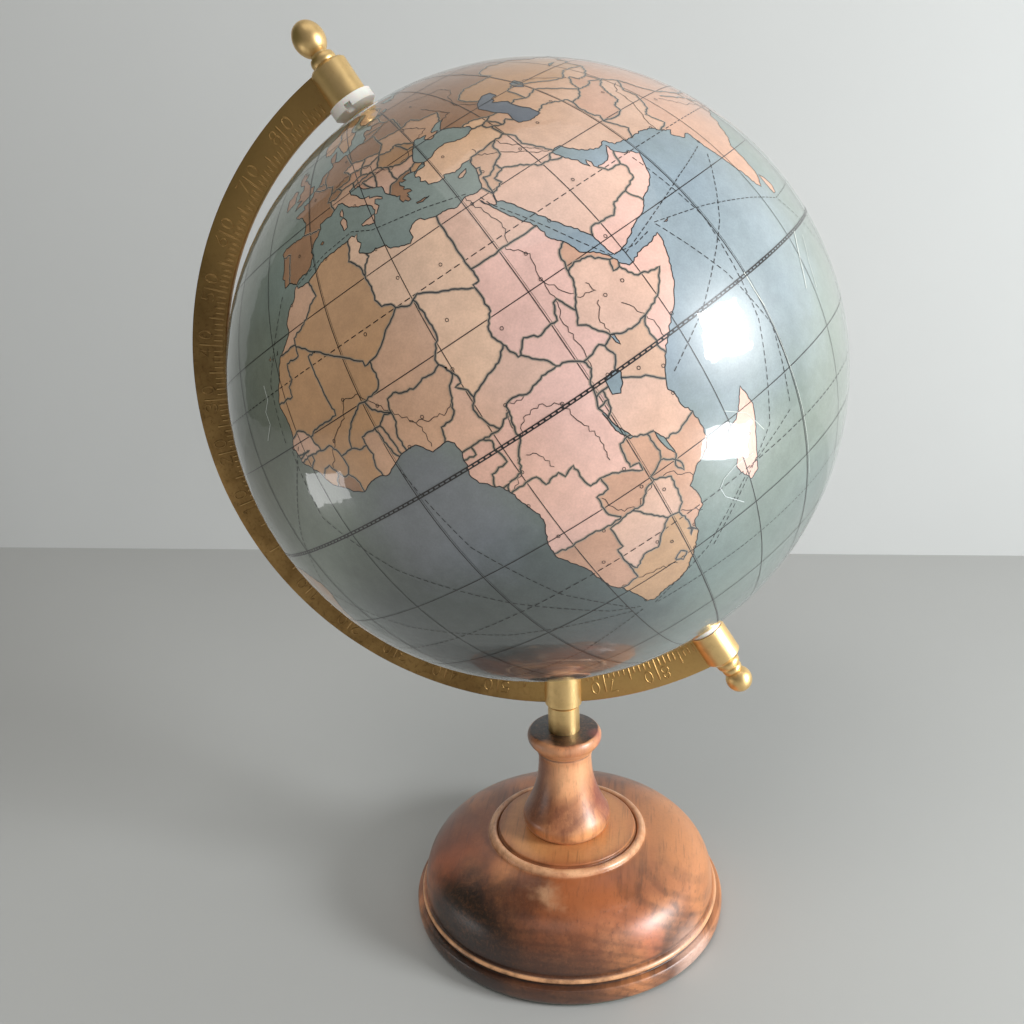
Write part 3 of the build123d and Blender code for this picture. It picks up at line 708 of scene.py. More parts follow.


# ---------------------------------------------------------------- printed map on the ball
# The two half shells are pressed from printed board and covered with a clear gloss film. The map is a plain
# political one without lettering: land in ochres and pinks with slate borders on a grey-green sea, a
# 15-degree grid, dashed tropics and sea routes, and a laddered equator.

# The map is drawn as places in degrees, longitude and latitude. A comma parts two places and an upright
# stroke two lines. Coasts, islands and lakes are closed lines.
afro_eurasia = """
-5.9 35.8, -5.3 35.9, -5.2 35.4, -3.9 35.2, -3 35.3, -2.2 35.1, -1.4 35.5, -0.6 35.7, 0.1 35.9, 1.3 36.5,
3 36.8, 5.1 36.8, 6.3 37, 7.8 36.9, 8.6 36.95, 9.8 37.3, 10.3 36.8, 11 37.1, 10.6 36.4, 10.6 35.8, 11.1 35.2,
10.7 34.7, 10.1 34.2, 10.1 33.9, 10.7 33.6, 11.2 33.2, 12.1 32.8, 13.2 32.9, 14.3 32.6, 15.2 32.4, 15.7 31.5,
16.6 31.2, 18 30.6, 19.1 30.3, 20 30.9, 20 32.1, 20.9 32.7, 21.7 32.9, 22.7 32.8, 23.2 32.2, 24 32,
25.2 31.6, 26.9 31.5, 28.9 30.9, 29.9 31.2, 31 31.6, 32 31.4, 32.3 31.2, 33.1 31.1, 34.2 31.3, 34.6 31.8,
34.9 32.8, 35.5 33.9, 35.8 34.6, 35.8 35.6, 36.2 36.6, 35.6 36.6, 34.6 36.7, 33.9 36.3, 32.5 36.1, 31 36.8,
30.6 36.9, 30.4 36.3, 29.3 36.3, 28.2 36.7, 27.3 37, 27.2 37.9, 26.4 38.3, 26.8 38.9, 26.7 39.3, 26.1 39.5,
26.2 39.95, 27.4 40.4, 28.9 40.4, 29.1 41.1, 31.2 41.2, 32.3 41.8, 33.6 42, 35 42.1, 36 41.7, 37 41.2,
38.4 40.95, 39.7 41, 41.5 41.5, 41.6 42.3, 39.7 43.5, 39.1 44.1, 37.8 44.7, 36.8 45.2, 37.9 46.3, 38.3 46.7,
39.3 47.2, 37.5 47.1, 36.2 46.6, 35 46.1, 34.9 45.7, 36.4 45.4, 35.4 45, 33.6 44.5, 32.6 45.4, 33.6 46,
31.6 46.4, 30.8 46.5, 29.7 45.4, 28.7 44.2, 28 43.3, 27.6 42.5, 28.1 41.8, 29 41.3, 28 41, 27.3 40.7,
26.2 40.2, 26.7 40.6, 25.9 40.85, 24.4 40.9, 23.8 40.7, 24.3 40.1, 23.4 40.2, 22.9 40.6, 22.7 39.9,
23.3 39.2, 22.9 38.9, 24 38.2, 24.1 37.7, 23.1 37.9, 23.2 37.3, 22.8 37.5, 23.1 36.5, 22.5 36.5, 22.1 37,
21.6 36.9, 21.3 37.7, 21.7 38.3, 21.1 38.4, 20.8 38.9, 20.1 39.6, 19.4 40.4, 19.5 41.5, 19.3 42, 18.4 42.5,
17.2 43.1, 16 43.6, 15.2 44.2, 14.5 45.2, 13.9 44.9, 13.6 45.6, 12.3 45.4, 12.4 44.4, 13.5 43.6, 14.1 42.6,
15.2 41.95, 16.2 41.8, 16 41.4, 17 41.1, 18.5 40.1, 18.4 39.8, 17 40.5, 16.6 39.8, 17.2 39, 16.6 38.5,
16.1 37.95, 15.7 38.2, 16.1 38.8, 15.7 40, 14.8 40.7, 13.6 41.2, 12.2 41.8, 11.1 42.4, 10.4 43.2, 9.8 44.1,
8.8 44.4, 7.5 43.8, 6.4 43.2, 4.8 43.4, 3.2 43.2, 3.2 42.3, 2.1 41.3, 0.9 40.8, -0.3 39.5, 0.2 38.8,
-0.5 38.2, -0.8 37.6, -2.1 36.8, -4.4 36.7, -5.4 36.1, -6.3 36.6, -7.4 37.2, -8.9 37, -8.8 38.3, -9.5 38.8,
-8.8 40.6, -8.8 42.1, -9.3 43, -8 43.7, -5.8 43.6, -3.8 43.5, -1.8 43.4, -1.4 44.3, -1.1 45.6, -2.2 47.1,
-4.4 47.9, -4.7 48.5, -2.7 48.6, -1.5 48.7, -1.9 49.7, -1.2 49.4, 0.2 49.6, 1.5 50.2, 1.8 50.95, 3.4 51.4,
4.5 52.4, 4.9 53.1, 6.9 53.5, 8.3 53.6, 8.9 54, 8.6 54.9, 8.1 55.6, 8.2 56.8, 10.5 57.7, 10.3 56.6, 10 55.5,
9.7 54.8, 10.9 54.1, 12.3 54.3, 13.6 54.5, 14.2 53.9, 16.5 54.5, 18.6 54.7, 19.6 54.4, 21 55.2, 21 56.8,
21.6 57.5, 22.6 57.7, 23.2 57, 24.1 57.1, 24.4 58.4, 23.5 58.8, 23.6 59.3, 25.5 59.6, 28 59.5, 30 59.9,
28.7 60.6, 25 60.2, 22.9 59.9, 21.4 61, 21.4 62.5, 22.9 63.7, 25.2 65, 24.2 65.8, 22.2 65.7, 21.3 64.5,
19 63.2, 17.6 62.3, 17.2 60.8, 18.9 59.9, 17.9 58.8, 16.6 57.8, 16.3 56.6, 14.8 56.1, 14.3 55.5, 12.9 55.5,
12.6 56.3, 11.9 57.6, 11.1 59, 10.6 59.5, 9.6 58.9, 8 58.1, 5.6 58.7, 5.1 60.5, 5.1 62, 7.5 63.1, 9.9 63.8,
11.5 65, 13 66.5, 14.5 67.6, 16.5 68.6, 19 69.8, 22.5 70.6, 25.8 71.1, 28.5 70.9, 31 70.3, 30 69.6, 33 69.4,
36.5 69.1, 40.5 67.8, 41.1 66.7, 39 66.1, 34.5 66.6, 34.8 64.6, 37.9 63.9, 37.2 65, 39.7 64.6, 42 66.4,
44.2 66, 43.7 68.4, 46 68.2, 46.5 67, 53.5 68.4, 54.5 68.3, 60.5 69.5, 60.5 68.8, 65 69.3, 68.5 68.3,
66.9 70, 67 71.5, 69 73, 72.7 72.8, 72.8 71, 72.3 68.9, 73.6 68.5, 73.9 71, 74.9 72.8, 80.5 73.6, 87 75,
98 76.2, 104.3 77.7, 106 77, 113.5 75.6, 109 73.5, 113 73.8, 123 73, 129.5 71, 133 71.5, 140 72.5, 150 71.6,
160 69.7, 170.5 69, 175.8 69.8, 180 68.9, 180 65, 177.5 64.7, 179.5 62.5, 174.5 61.8, 170.3 60, 163.5 59.9,
162 58.2, 163.2 56.2, 162 54.8, 160 53.2, 156.7 51, 155.6 56, 156.7 57.7, 159.8 59.9, 163.7 62.5, 160 61.8,
156.5 61.5, 154.5 59.5, 151 59, 143 59.3, 138.2 56.5, 135.2 54.7, 137.5 53.6, 141.3 53.2, 140.5 50,
138.5 46.9, 135.5 44.4, 132.9 42.8, 131.9 43.1, 130.7 42.3, 129.7 40.9, 127.5 39.8, 127.4 39.2, 128.4 38.6,
129.4 37, 129.4 35.5, 128 34.8, 126.4 34.6, 126.5 36.7, 126.6 37.5, 125 37.7, 125.2 38.8, 125.1 39.6,
124.3 39.9, 121.6 38.9, 122.1 40.5, 121 40.8, 118.5 39.1, 117.7 38.9, 118.8 37.7, 120.8 37.8, 122.5 37.2,
120.3 36.1, 119.2 34.9, 120.3 34, 121.8 31.9, 121.9 30.9, 120.8 30.3, 122 29.8, 121.6 28.2, 119.6 26.1,
118.2 24.4, 116.7 23.3, 114.2 22.4, 112.9 21.8, 110.5 21.2, 110.2 20.3, 109.7 21.5, 108.2 21.6, 106.7 20.6,
105.7 19, 107.2 16.8, 108.9 15.3, 109.3 13, 109 11.6, 106.9 10.4, 106.6 9.5, 104.8 8.6, 105 10, 103.5 10.6,
102.5 12, 100.9 12.7, 100.9 13.5, 100 13.3, 99.9 11.8, 99.2 9.3, 100.2 8.4, 100.6 7.2, 102.2 6.2, 103.4 4.8,
103.5 2.8, 104.2 1.4, 103.4 1.4, 101.3 2.9, 100.4 5.3, 100.3 6.6, 98.5 8, 98.6 10, 98.6 12.5, 97.7 15.5,
97.6 16.6, 96.2 16.4, 95.3 15.8, 94.3 16, 94.5 18.5, 93.6 19.8, 92.3 20.8, 91.8 22.3, 90.6 22.4, 89.5 21.8,
88.2 21.7, 87 21.4, 86.4 20, 84.9 19.3, 82.3 16.7, 80.3 15.8, 80.1 14, 80.3 13.1, 79.8 11.9, 79.8 10.4,
79 9.3, 78.2 8.8, 77.5 8.1, 76.6 8.9, 75.8 11.3, 74.8 12.9, 74.1 14.9, 73.3 17, 72.8 19, 72.7 21, 72.2 21.2,
70.9 20.7, 69 22.3, 70.2 22.9, 68.2 23.7, 66.7 24.9, 64.5 25.3, 61.6 25.1, 57.8 25.7, 56.8 27.1, 54.8 26.5,
52.6 27.4, 50.9 28.9, 50.1 30.2, 48.9 30.3, 48 29.9, 48.1 29.3, 48.8 28, 50.1 26.7, 50.2 25.7, 50.8 24.8,
50.8 25.5, 51.2 26.1, 51.6 25.3, 51.3 24.6, 51.6 24.1, 54 24.2, 54.5 24.5, 55.4 25.4, 56.3 26.3, 56.4 24.9,
57.5 23.8, 58.6 23.6, 59.8 22.5, 58.9 21.1, 58.5 20.4, 57.7 19, 56.5 18.1, 55.3 17.4, 54 17, 52.2 15.6,
49.1 14.5, 47 13.5, 45 12.8, 43.5 12.7, 43.2 13.3, 42.9 14.8, 42.7 16.4, 42 17.5, 41 19.1, 39.2 21.3,
38.9 22.3, 37.2 24.8, 35.5 27.7, 34.7 28.1, 35 29.5, 34.8 29.3, 34.4 28, 34.25 27.8, 33.2 28.6, 32.6 29.9,
32.8 29, 33.8 27.2, 34.1 26.5, 35.5 24, 35.8 23.5, 37 21.9, 37.2 19.6, 38.6 18, 39.5 15.6, 41.2 14.6,
42.7 13, 43.3 11.9, 43.2 11.5, 44.3 10.4, 47 11.1, 49 11.3, 51.2 11.85, 51.1 10.4, 50.1 8.1, 48.6 5.3,
46 2.4, 45.3 2, 42.6 -0.4, 41 -2, 40.1 -3.3, 39.6 -4.2, 38.8 -6, 39.4 -7, 39.5 -9.1, 40.5 -10.6, 40.6 -12.8,
40.7 -15, 39.9 -16.4, 37 -17.8, 34.8 -19.8, 35.3 -21, 35.5 -22.2, 35.4 -23.8, 33 -25.3, 32.7 -26.1,
32.8 -27.5, 31 -29.9, 29.2 -31.7, 27.9 -33, 25.7 -33.9, 22.5 -34, 20 -34.8, 18.4 -34.2, 18.3 -33, 17.9 -31.7,
16.5 -28.6, 15.2 -27, 14.5 -23.8, 14.5 -22.9, 13.4 -20.5, 11.8 -18, 11.8 -16.2, 12.3 -14.5, 13.5 -12.5,
13.8 -10.7, 13.1 -8.8, 12.3 -6, 11.8 -4.8, 9.3 -2.5, 8.8 -0.8, 9.4 0.4, 9.3 1.2, 9.8 2.2, 9.6 3.8, 8.9 4.5,
7.1 4.4, 6.1 4.3, 5.2 5.5, 4.4 6.3, 3.4 6.4, 2.7 6.3, 1.2 6.1, 0.3 5.7, -0.2 5.5, -2 4.75, -4 5.2, -5.8 5,
-7.5 4.35, -9 5, -10.8 6.3, -12.5 7.4, -13.3 8.5, -13.7 9.5, -15 10.9, -16.7 12.3, -16.8 13.4, -17 14.3,
-17.5 14.7, -16.5 16, -16.1 18, -16.3 19.2, -17 20.9, -16.9 21.9, -15.9 23.7, -14.8 25.2, -14.5 26.2,
-13.2 27.7, -12 28.2, -11.1 28.8, -9.8 29.8, -9.6 30.4, -9.8 31.5, -8.5 33.2, -6.8 34.1
"""
americas = """
-79.5 9, -82.8 8.3, -85.7 10, -87.5 12.9, -91.5 14, -94.5 16.2, -99.8 16.9, -105.5 20, -105.5 22,
-109.4 25.8, -112.8 29.5, -114.8 31.8, -113 29, -110.8 25.5, -109.5 23, -112.2 24.8, -114.8 27.8,
-117.1 32.5, -120.6 34.5, -124 39, -124.4 42, -124 46.2, -124.6 48.4, -122.5 47.5, -123.2 49.2, -127.8 51.5,
-130.3 54.5, -134 58, -139.5 59.7, -146 60.8, -151.5 59.3, -154 58.5, -158.5 56.2, -164.5 54.6, -160 56.5,
-157.5 58.7, -162 58.7, -164.8 60.6, -165.5 62.5, -161 64.4, -166.5 64.5, -168 65.6, -164 66.3, -162.5 67,
-166.5 68.4, -162 70.2, -156.5 71.3, -148 70.4, -141 69.6, -135 69.4, -128 70.2, -125 69.5, -115 68.8,
-108 68, -98 67.8, -94.5 71.5, -91.5 69.5, -87.5 68, -82 69, -81.5 67.5, -86.5 66.5, -87.5 64.8, -93.5 62,
-94.7 58.9, -90 57.1, -82.5 55.2, -82 52.8, -79.5 51.3, -79 54, -76.6 57, -78 59.5, -77.8 62.4, -73.5 62.3,
-70 61, -69.5 58.8, -65 60, -64.3 60.3, -61.5 56.5, -57.5 54.5, -55.8 52.5, -60 50.2, -66.5 50.2, -70 47.5,
-65 49, -64.8 46.8, -61.5 45.5, -60 46, -63.5 44.6, -66 43.6, -65 45.3, -67 44.8, -70.5 43.2, -70 41.7,
-74 40.6, -75 38.8, -76 36.9, -75.6 35.2, -78.5 33.8, -81.3 31.5, -81.3 29.8, -80.1 26.8, -80.5 25.2,
-81.8 26.2, -82.8 28, -84 30, -88 30.3, -89.3 29.2, -93.8 29.7, -97.2 27.8, -97.8 22.4, -96.1 19.2,
-94.5 18.1, -91.8 18.5, -90.5 21, -87 21.5, -87.8 18.4, -88.6 15.9, -83.2 15, -83.7 11, -81.5 9, -79.7 9.5,
-77.4 8.6, -75.5 10.5, -71.7 12.4, -71.5 10.8, -68.3 10.8, -62 10.7, -60 8.5, -57 6, -52 4.8, -50 1,
-48.5 -1.2, -44.3 -2.5, -40 -2.9, -37 -4.8, -35 -6, -34.8 -8, -37 -11, -38.5 -13, -39 -17.5, -41 -22,
-43.2 -23, -48.5 -26, -48.7 -28.5, -52.3 -32.5, -54.9 -34.9, -58.3 -34.2, -56.8 -36.5, -58 -38.1, -62 -39,
-65 -41, -63.7 -42.6, -65.3 -44.5, -67.5 -46.5, -65.8 -47.8, -69 -51, -68.4 -52.6, -65.5 -54.8, -70 -55.2,
-74.5 -52, -75.5 -47, -73.5 -42, -73.6 -37.5, -71.6 -33, -71.4 -29, -70.3 -23.5, -70.4 -18.4, -76.3 -13.8,
-77.2 -12, -79.9 -7, -81.3 -4.7, -80 -2.8, -80.9 -1, -79 1.5, -77.5 4, -77.9 7.2
"""
islands = """
49.3 -12, 50.2 -15.5, 49.8 -16.9, 49.4 -18.1, 47.9 -22, 47.1 -24.9, 45.3 -25.6, 43.7 -23.4, 43.3 -22,
44.4 -20, 44 -17.5, 44.4 -16.2, 46.3 -15.7, 47.9 -14, 48.9 -12.5 | -5.7 50.1, -3.5 50.3, -1.2 50.7, 1.4 51.2,
1.7 52.6, 0.3 52.9, 0.1 53.6, -1.5 55, -2 55.8, -3.2 56, -2 57.6, -4 57.7, -3.1 58.6, -5 58.6, -5.7 57.3,
-5.6 56.3, -4.8 55.5, -3 54.9, -3 53.8, -4.5 53.3, -4.1 52.5, -5.2 51.9, -3 51.4, -4.5 51.1 | -6.1 52.2,
-6.1 53.5, -5.6 54.6, -7.3 55.3, -8.5 54.4, -10 54.2, -9.9 51.8, -9.5 51.5, -8 51.9 | -22.5 63.9, -18.8 63.4,
-14.5 64.4, -15 66.1, -18.5 66.1, -22 66.3, -24 65.5, -22.2 64.6 | 12.5 38, 15.6 38.25, 15.1 36.7, 12.6 37.6
| 8.3 40.9, 9.2 41.25, 9.7 40.5, 9.5 39.2, 8.5 39 | 8.7 42.5, 9.4 43, 9.5 42.1, 9.2 41.4, 8.6 41.9 |
23.6 35.5, 26.2 35.2, 24.7 34.95, 23.6 35.25 | 32.3 35.05, 33 35.35, 34.5 35.65, 34 35, 33 34.6, 32.4 34.75 |
2.4 39.6, 3.1 39.9, 3.4 39.6, 3 39.3 | 80 9.7, 81.2 8.6, 81.8 7.2, 81 6.1, 80.1 6.1, 79.8 7.9 | 53.3 12.5,
54.4 12.6, 53.9 12.3 | -16.9 28.3, -16.2 28.6, -16.5 28 | -14.3 28.1, -13.8 28.7, -14 28.2 | -15.8 28,
-15.4 28.1, -15.6 27.7 | 52 71, 55 70.7, 57.5 70.7, 56 72.5, 61 75.2, 68.5 76.8, 66 77, 58 75.5, 54 73.6 |
11 79, 16 76.6, 18 77.5, 21.5 78.5, 25 80.2, 15 80 | -45 60, -43 61, -40 65, -32 68, -22 70.5, -20 75,
-18 79, -12 81.5, -32 83, -60 82, -73 78.4, -68 76, -58 75.5, -54.5 71, -53.5 67, -50 62.5 | -84.9 21.9,
-82.4 23.1, -77.5 22, -74.2 20.2, -77.7 19.9, -78.5 21.5 | -74.4 18.5, -72.8 19.9, -68.4 18.6, -71.5 17.7 |
-59.3 47.7, -57 51.3, -55.5 51.6, -52.8 47, -55.8 46.9 | -65 61.9, -72 63.5, -73 65, -67.5 66, -62 66.7,
-68 70, -78 72.8, -85 73.7, -89 72, -85 70, -79 70, -74 68, -73 66, -78 64.4 | -117 69, -105 69, -101.5 70,
-105 72.5, -117 73 | -90 76.5, -78 76.4, -62 82.5, -72 83, -90 81.8, -95 80 | 131 34, 132.3 33.9, 135.8 33.5,
138.2 34.6, 140.8 35.6, 141.9 39.5, 141.3 41.4, 140 40.5, 139.4 38.2, 136.8 37.3, 135.8 35.6, 132.6 35.4 |
130 33.5, 131.7 33.5, 131.3 31.4, 130.2 31.3, 129.8 32.8 | 140 41.5, 141.6 42.4, 143.3 42, 145.3 43.3,
144.3 44, 141.8 45.4, 141.4 43.3, 140.2 42.8 | 142 46, 143.5 46.8, 142.8 49, 144.6 49, 143 52.5, 142.5 54.3,
142 52 | 120.1 23, 121.5 25.2, 121 22 | 108.7 19.2, 110.9 20, 109.6 18.2 | 120.6 18.5, 122.2 18.4, 121.6 16,
124 13, 122.3 13.5, 120.6 14.2, 120.2 16.2 | 122 7, 124 8.5, 125.5 9.8, 126.3 7, 125.5 5.7, 124 6.5 |
109 1.5, 111.4 2.6, 113.5 4, 116.8 7, 119.2 5.2, 117.6 3.5, 118.9 1, 117.5 -0.5, 116.2 -3.8, 114.5 -4,
111.5 -3.4, 110 -1.5 | 95.3 5.6, 98 4.2, 100.5 2, 103.5 -0.5, 106 -3, 105.8 -5.8, 104.5 -5.8, 102.3 -4,
100.3 -1, 98.6 1.5 | 105.3 -6.8, 106 -5.9, 108.6 -6.7, 110.8 -6.4, 112.7 -6.9, 114.5 -7.8, 114.3 -8.7,
110 -8.1, 106.5 -7.4 | 119 -3, 120.4 -5.5, 120.6 -2.8, 122.6 -4.8, 122 -2, 123.3 -0.8, 120.5 -0.8, 120.9 0.6,
124.8 1.5, 120.1 0.9, 119.7 -1 | 131 -0.8, 134 -0.8, 135 -3.3, 138 -1.6, 141 -2.6, 144.5 -3.8, 147.8 -6,
147.2 -7, 150.8 -10.3, 147.2 -9.5, 144 -7.7, 142.5 -9.2, 138.9 -8.3, 138 -5.5, 133 -4, 132.3 -2.5 |
113.7 -22.6, 114.2 -26.3, 115.7 -31.6, 115 -34.2, 118 -35, 123.5 -33.9, 129 -31.7, 131.2 -31.5, 134.2 -32.9,
136 -34.8, 137.8 -32.7, 138.2 -35.6, 140.6 -38, 144.5 -38.2, 146.4 -39, 150 -37.5, 151.3 -33.6, 153.2 -30,
153.1 -26, 150.8 -23.3, 147.5 -19.6, 146 -18.2, 145.3 -15, 143.5 -14.2, 142.5 -10.8, 141.6 -13.5,
140.9 -17.4, 139.3 -17.4, 136 -15.5, 136.9 -12.3, 132.6 -11.4, 130.8 -12.4, 129.5 -14.9, 127.8 -14,
125 -15.5, 122.2 -18, 119 -20, 114.6 -21.8 | 144.7 -40.8, 148.2 -40.9, 147.9 -43.2, 146 -43.5 | 172.8 -34.5,
175.3 -36.8, 178.4 -37.7, 176.9 -39.5, 175.2 -41.6, 174.9 -39.9, 173.8 -39.2, 174.7 -38 | 172.7 -40.6,
174.2 -41.7, 171.3 -44.3, 170.6 -45.9, 168.5 -46.6, 166.5 -45.9, 170.5 -43 | -180 68.9, -175 67.3, -170 66.1,
-172.5 64.4, -178.5 66, -180 65
"""
antarctic_coast = """
-180 -78, -160 -78, -140 -75, -120 -74, -100 -74.5, -80 -73.5, -68 -68, -62 -64.5, -57 -63.3, -60 -67,
-62 -73, -60 -76, -45 -78, -30 -76.5, -15 -72.5, 0 -70, 20 -70, 40 -69, 55 -66, 70 -68.5, 75 -69.5, 85 -66.8,
110 -66, 130 -66, 145 -67, 160 -70, 170 -72, 167 -77, 180 -78
"""
lakes = """
46.7 44.6, 48 45.9, 51 47, 53 46.7, 53 45.3, 51.3 45.2, 51.2 44.5, 50.3 44.3, 52.7 42.7, 52.4 41.7, 53 40,
53.8 39, 53.9 37, 51 36.8, 49 37.6, 48.9 38.6, 49.5 40.3, 48 42 | 58.3 45, 59 46.3, 61 46.5, 61 45, 59.5 43.8
| 31.8 -1, 31.9 -0.2, 32.6 0.2, 33.4 0.4, 34.2 0.1, 34.4 -0.4, 34 -1, 33.8 -1.7, 33.1 -2.2, 32.8 -2.7,
32.2 -2.4, 31.7 -2.2 | 29.3 -3.4, 29.8 -6, 31.1 -8.6, 30.5 -8.6, 29.4 -6.5, 29.1 -3.6 | 34 -9.6, 34.9 -11.5,
35.2 -14.2, 34.5 -13, 34 -11 | 103.8 51.6, 106 52.6, 109.8 55.7, 109.2 55.5, 107.5 53.4, 105 52.1 |
30.9 60.2, 32.6 60.6, 32.4 61.3, 30.8 61.2 | 74 45.8, 76.5 46.7, 79 46.5, 76.5 46.2 | 35.9 4.4, 36.5 4.1,
36.5 2.6, 36.1 3.2 | -92 46.7, -88 48.8, -84.6 46.6, -88 46.9 | -87.8 42, -87.4 45, -85.2 45.8, -86.3 42.2 |
-84.2 45.8, -81.5 45.8, -81.8 43.2, -83.4 44 | -83.3 41.8, -79 42.8, -82 41.5 | -99 51, -97 53.5, -98.5 53.4
| -118 61.6, -110 62.6, -113 61.2 | -124 65.8, -119 66.9, -120 65.2
"""
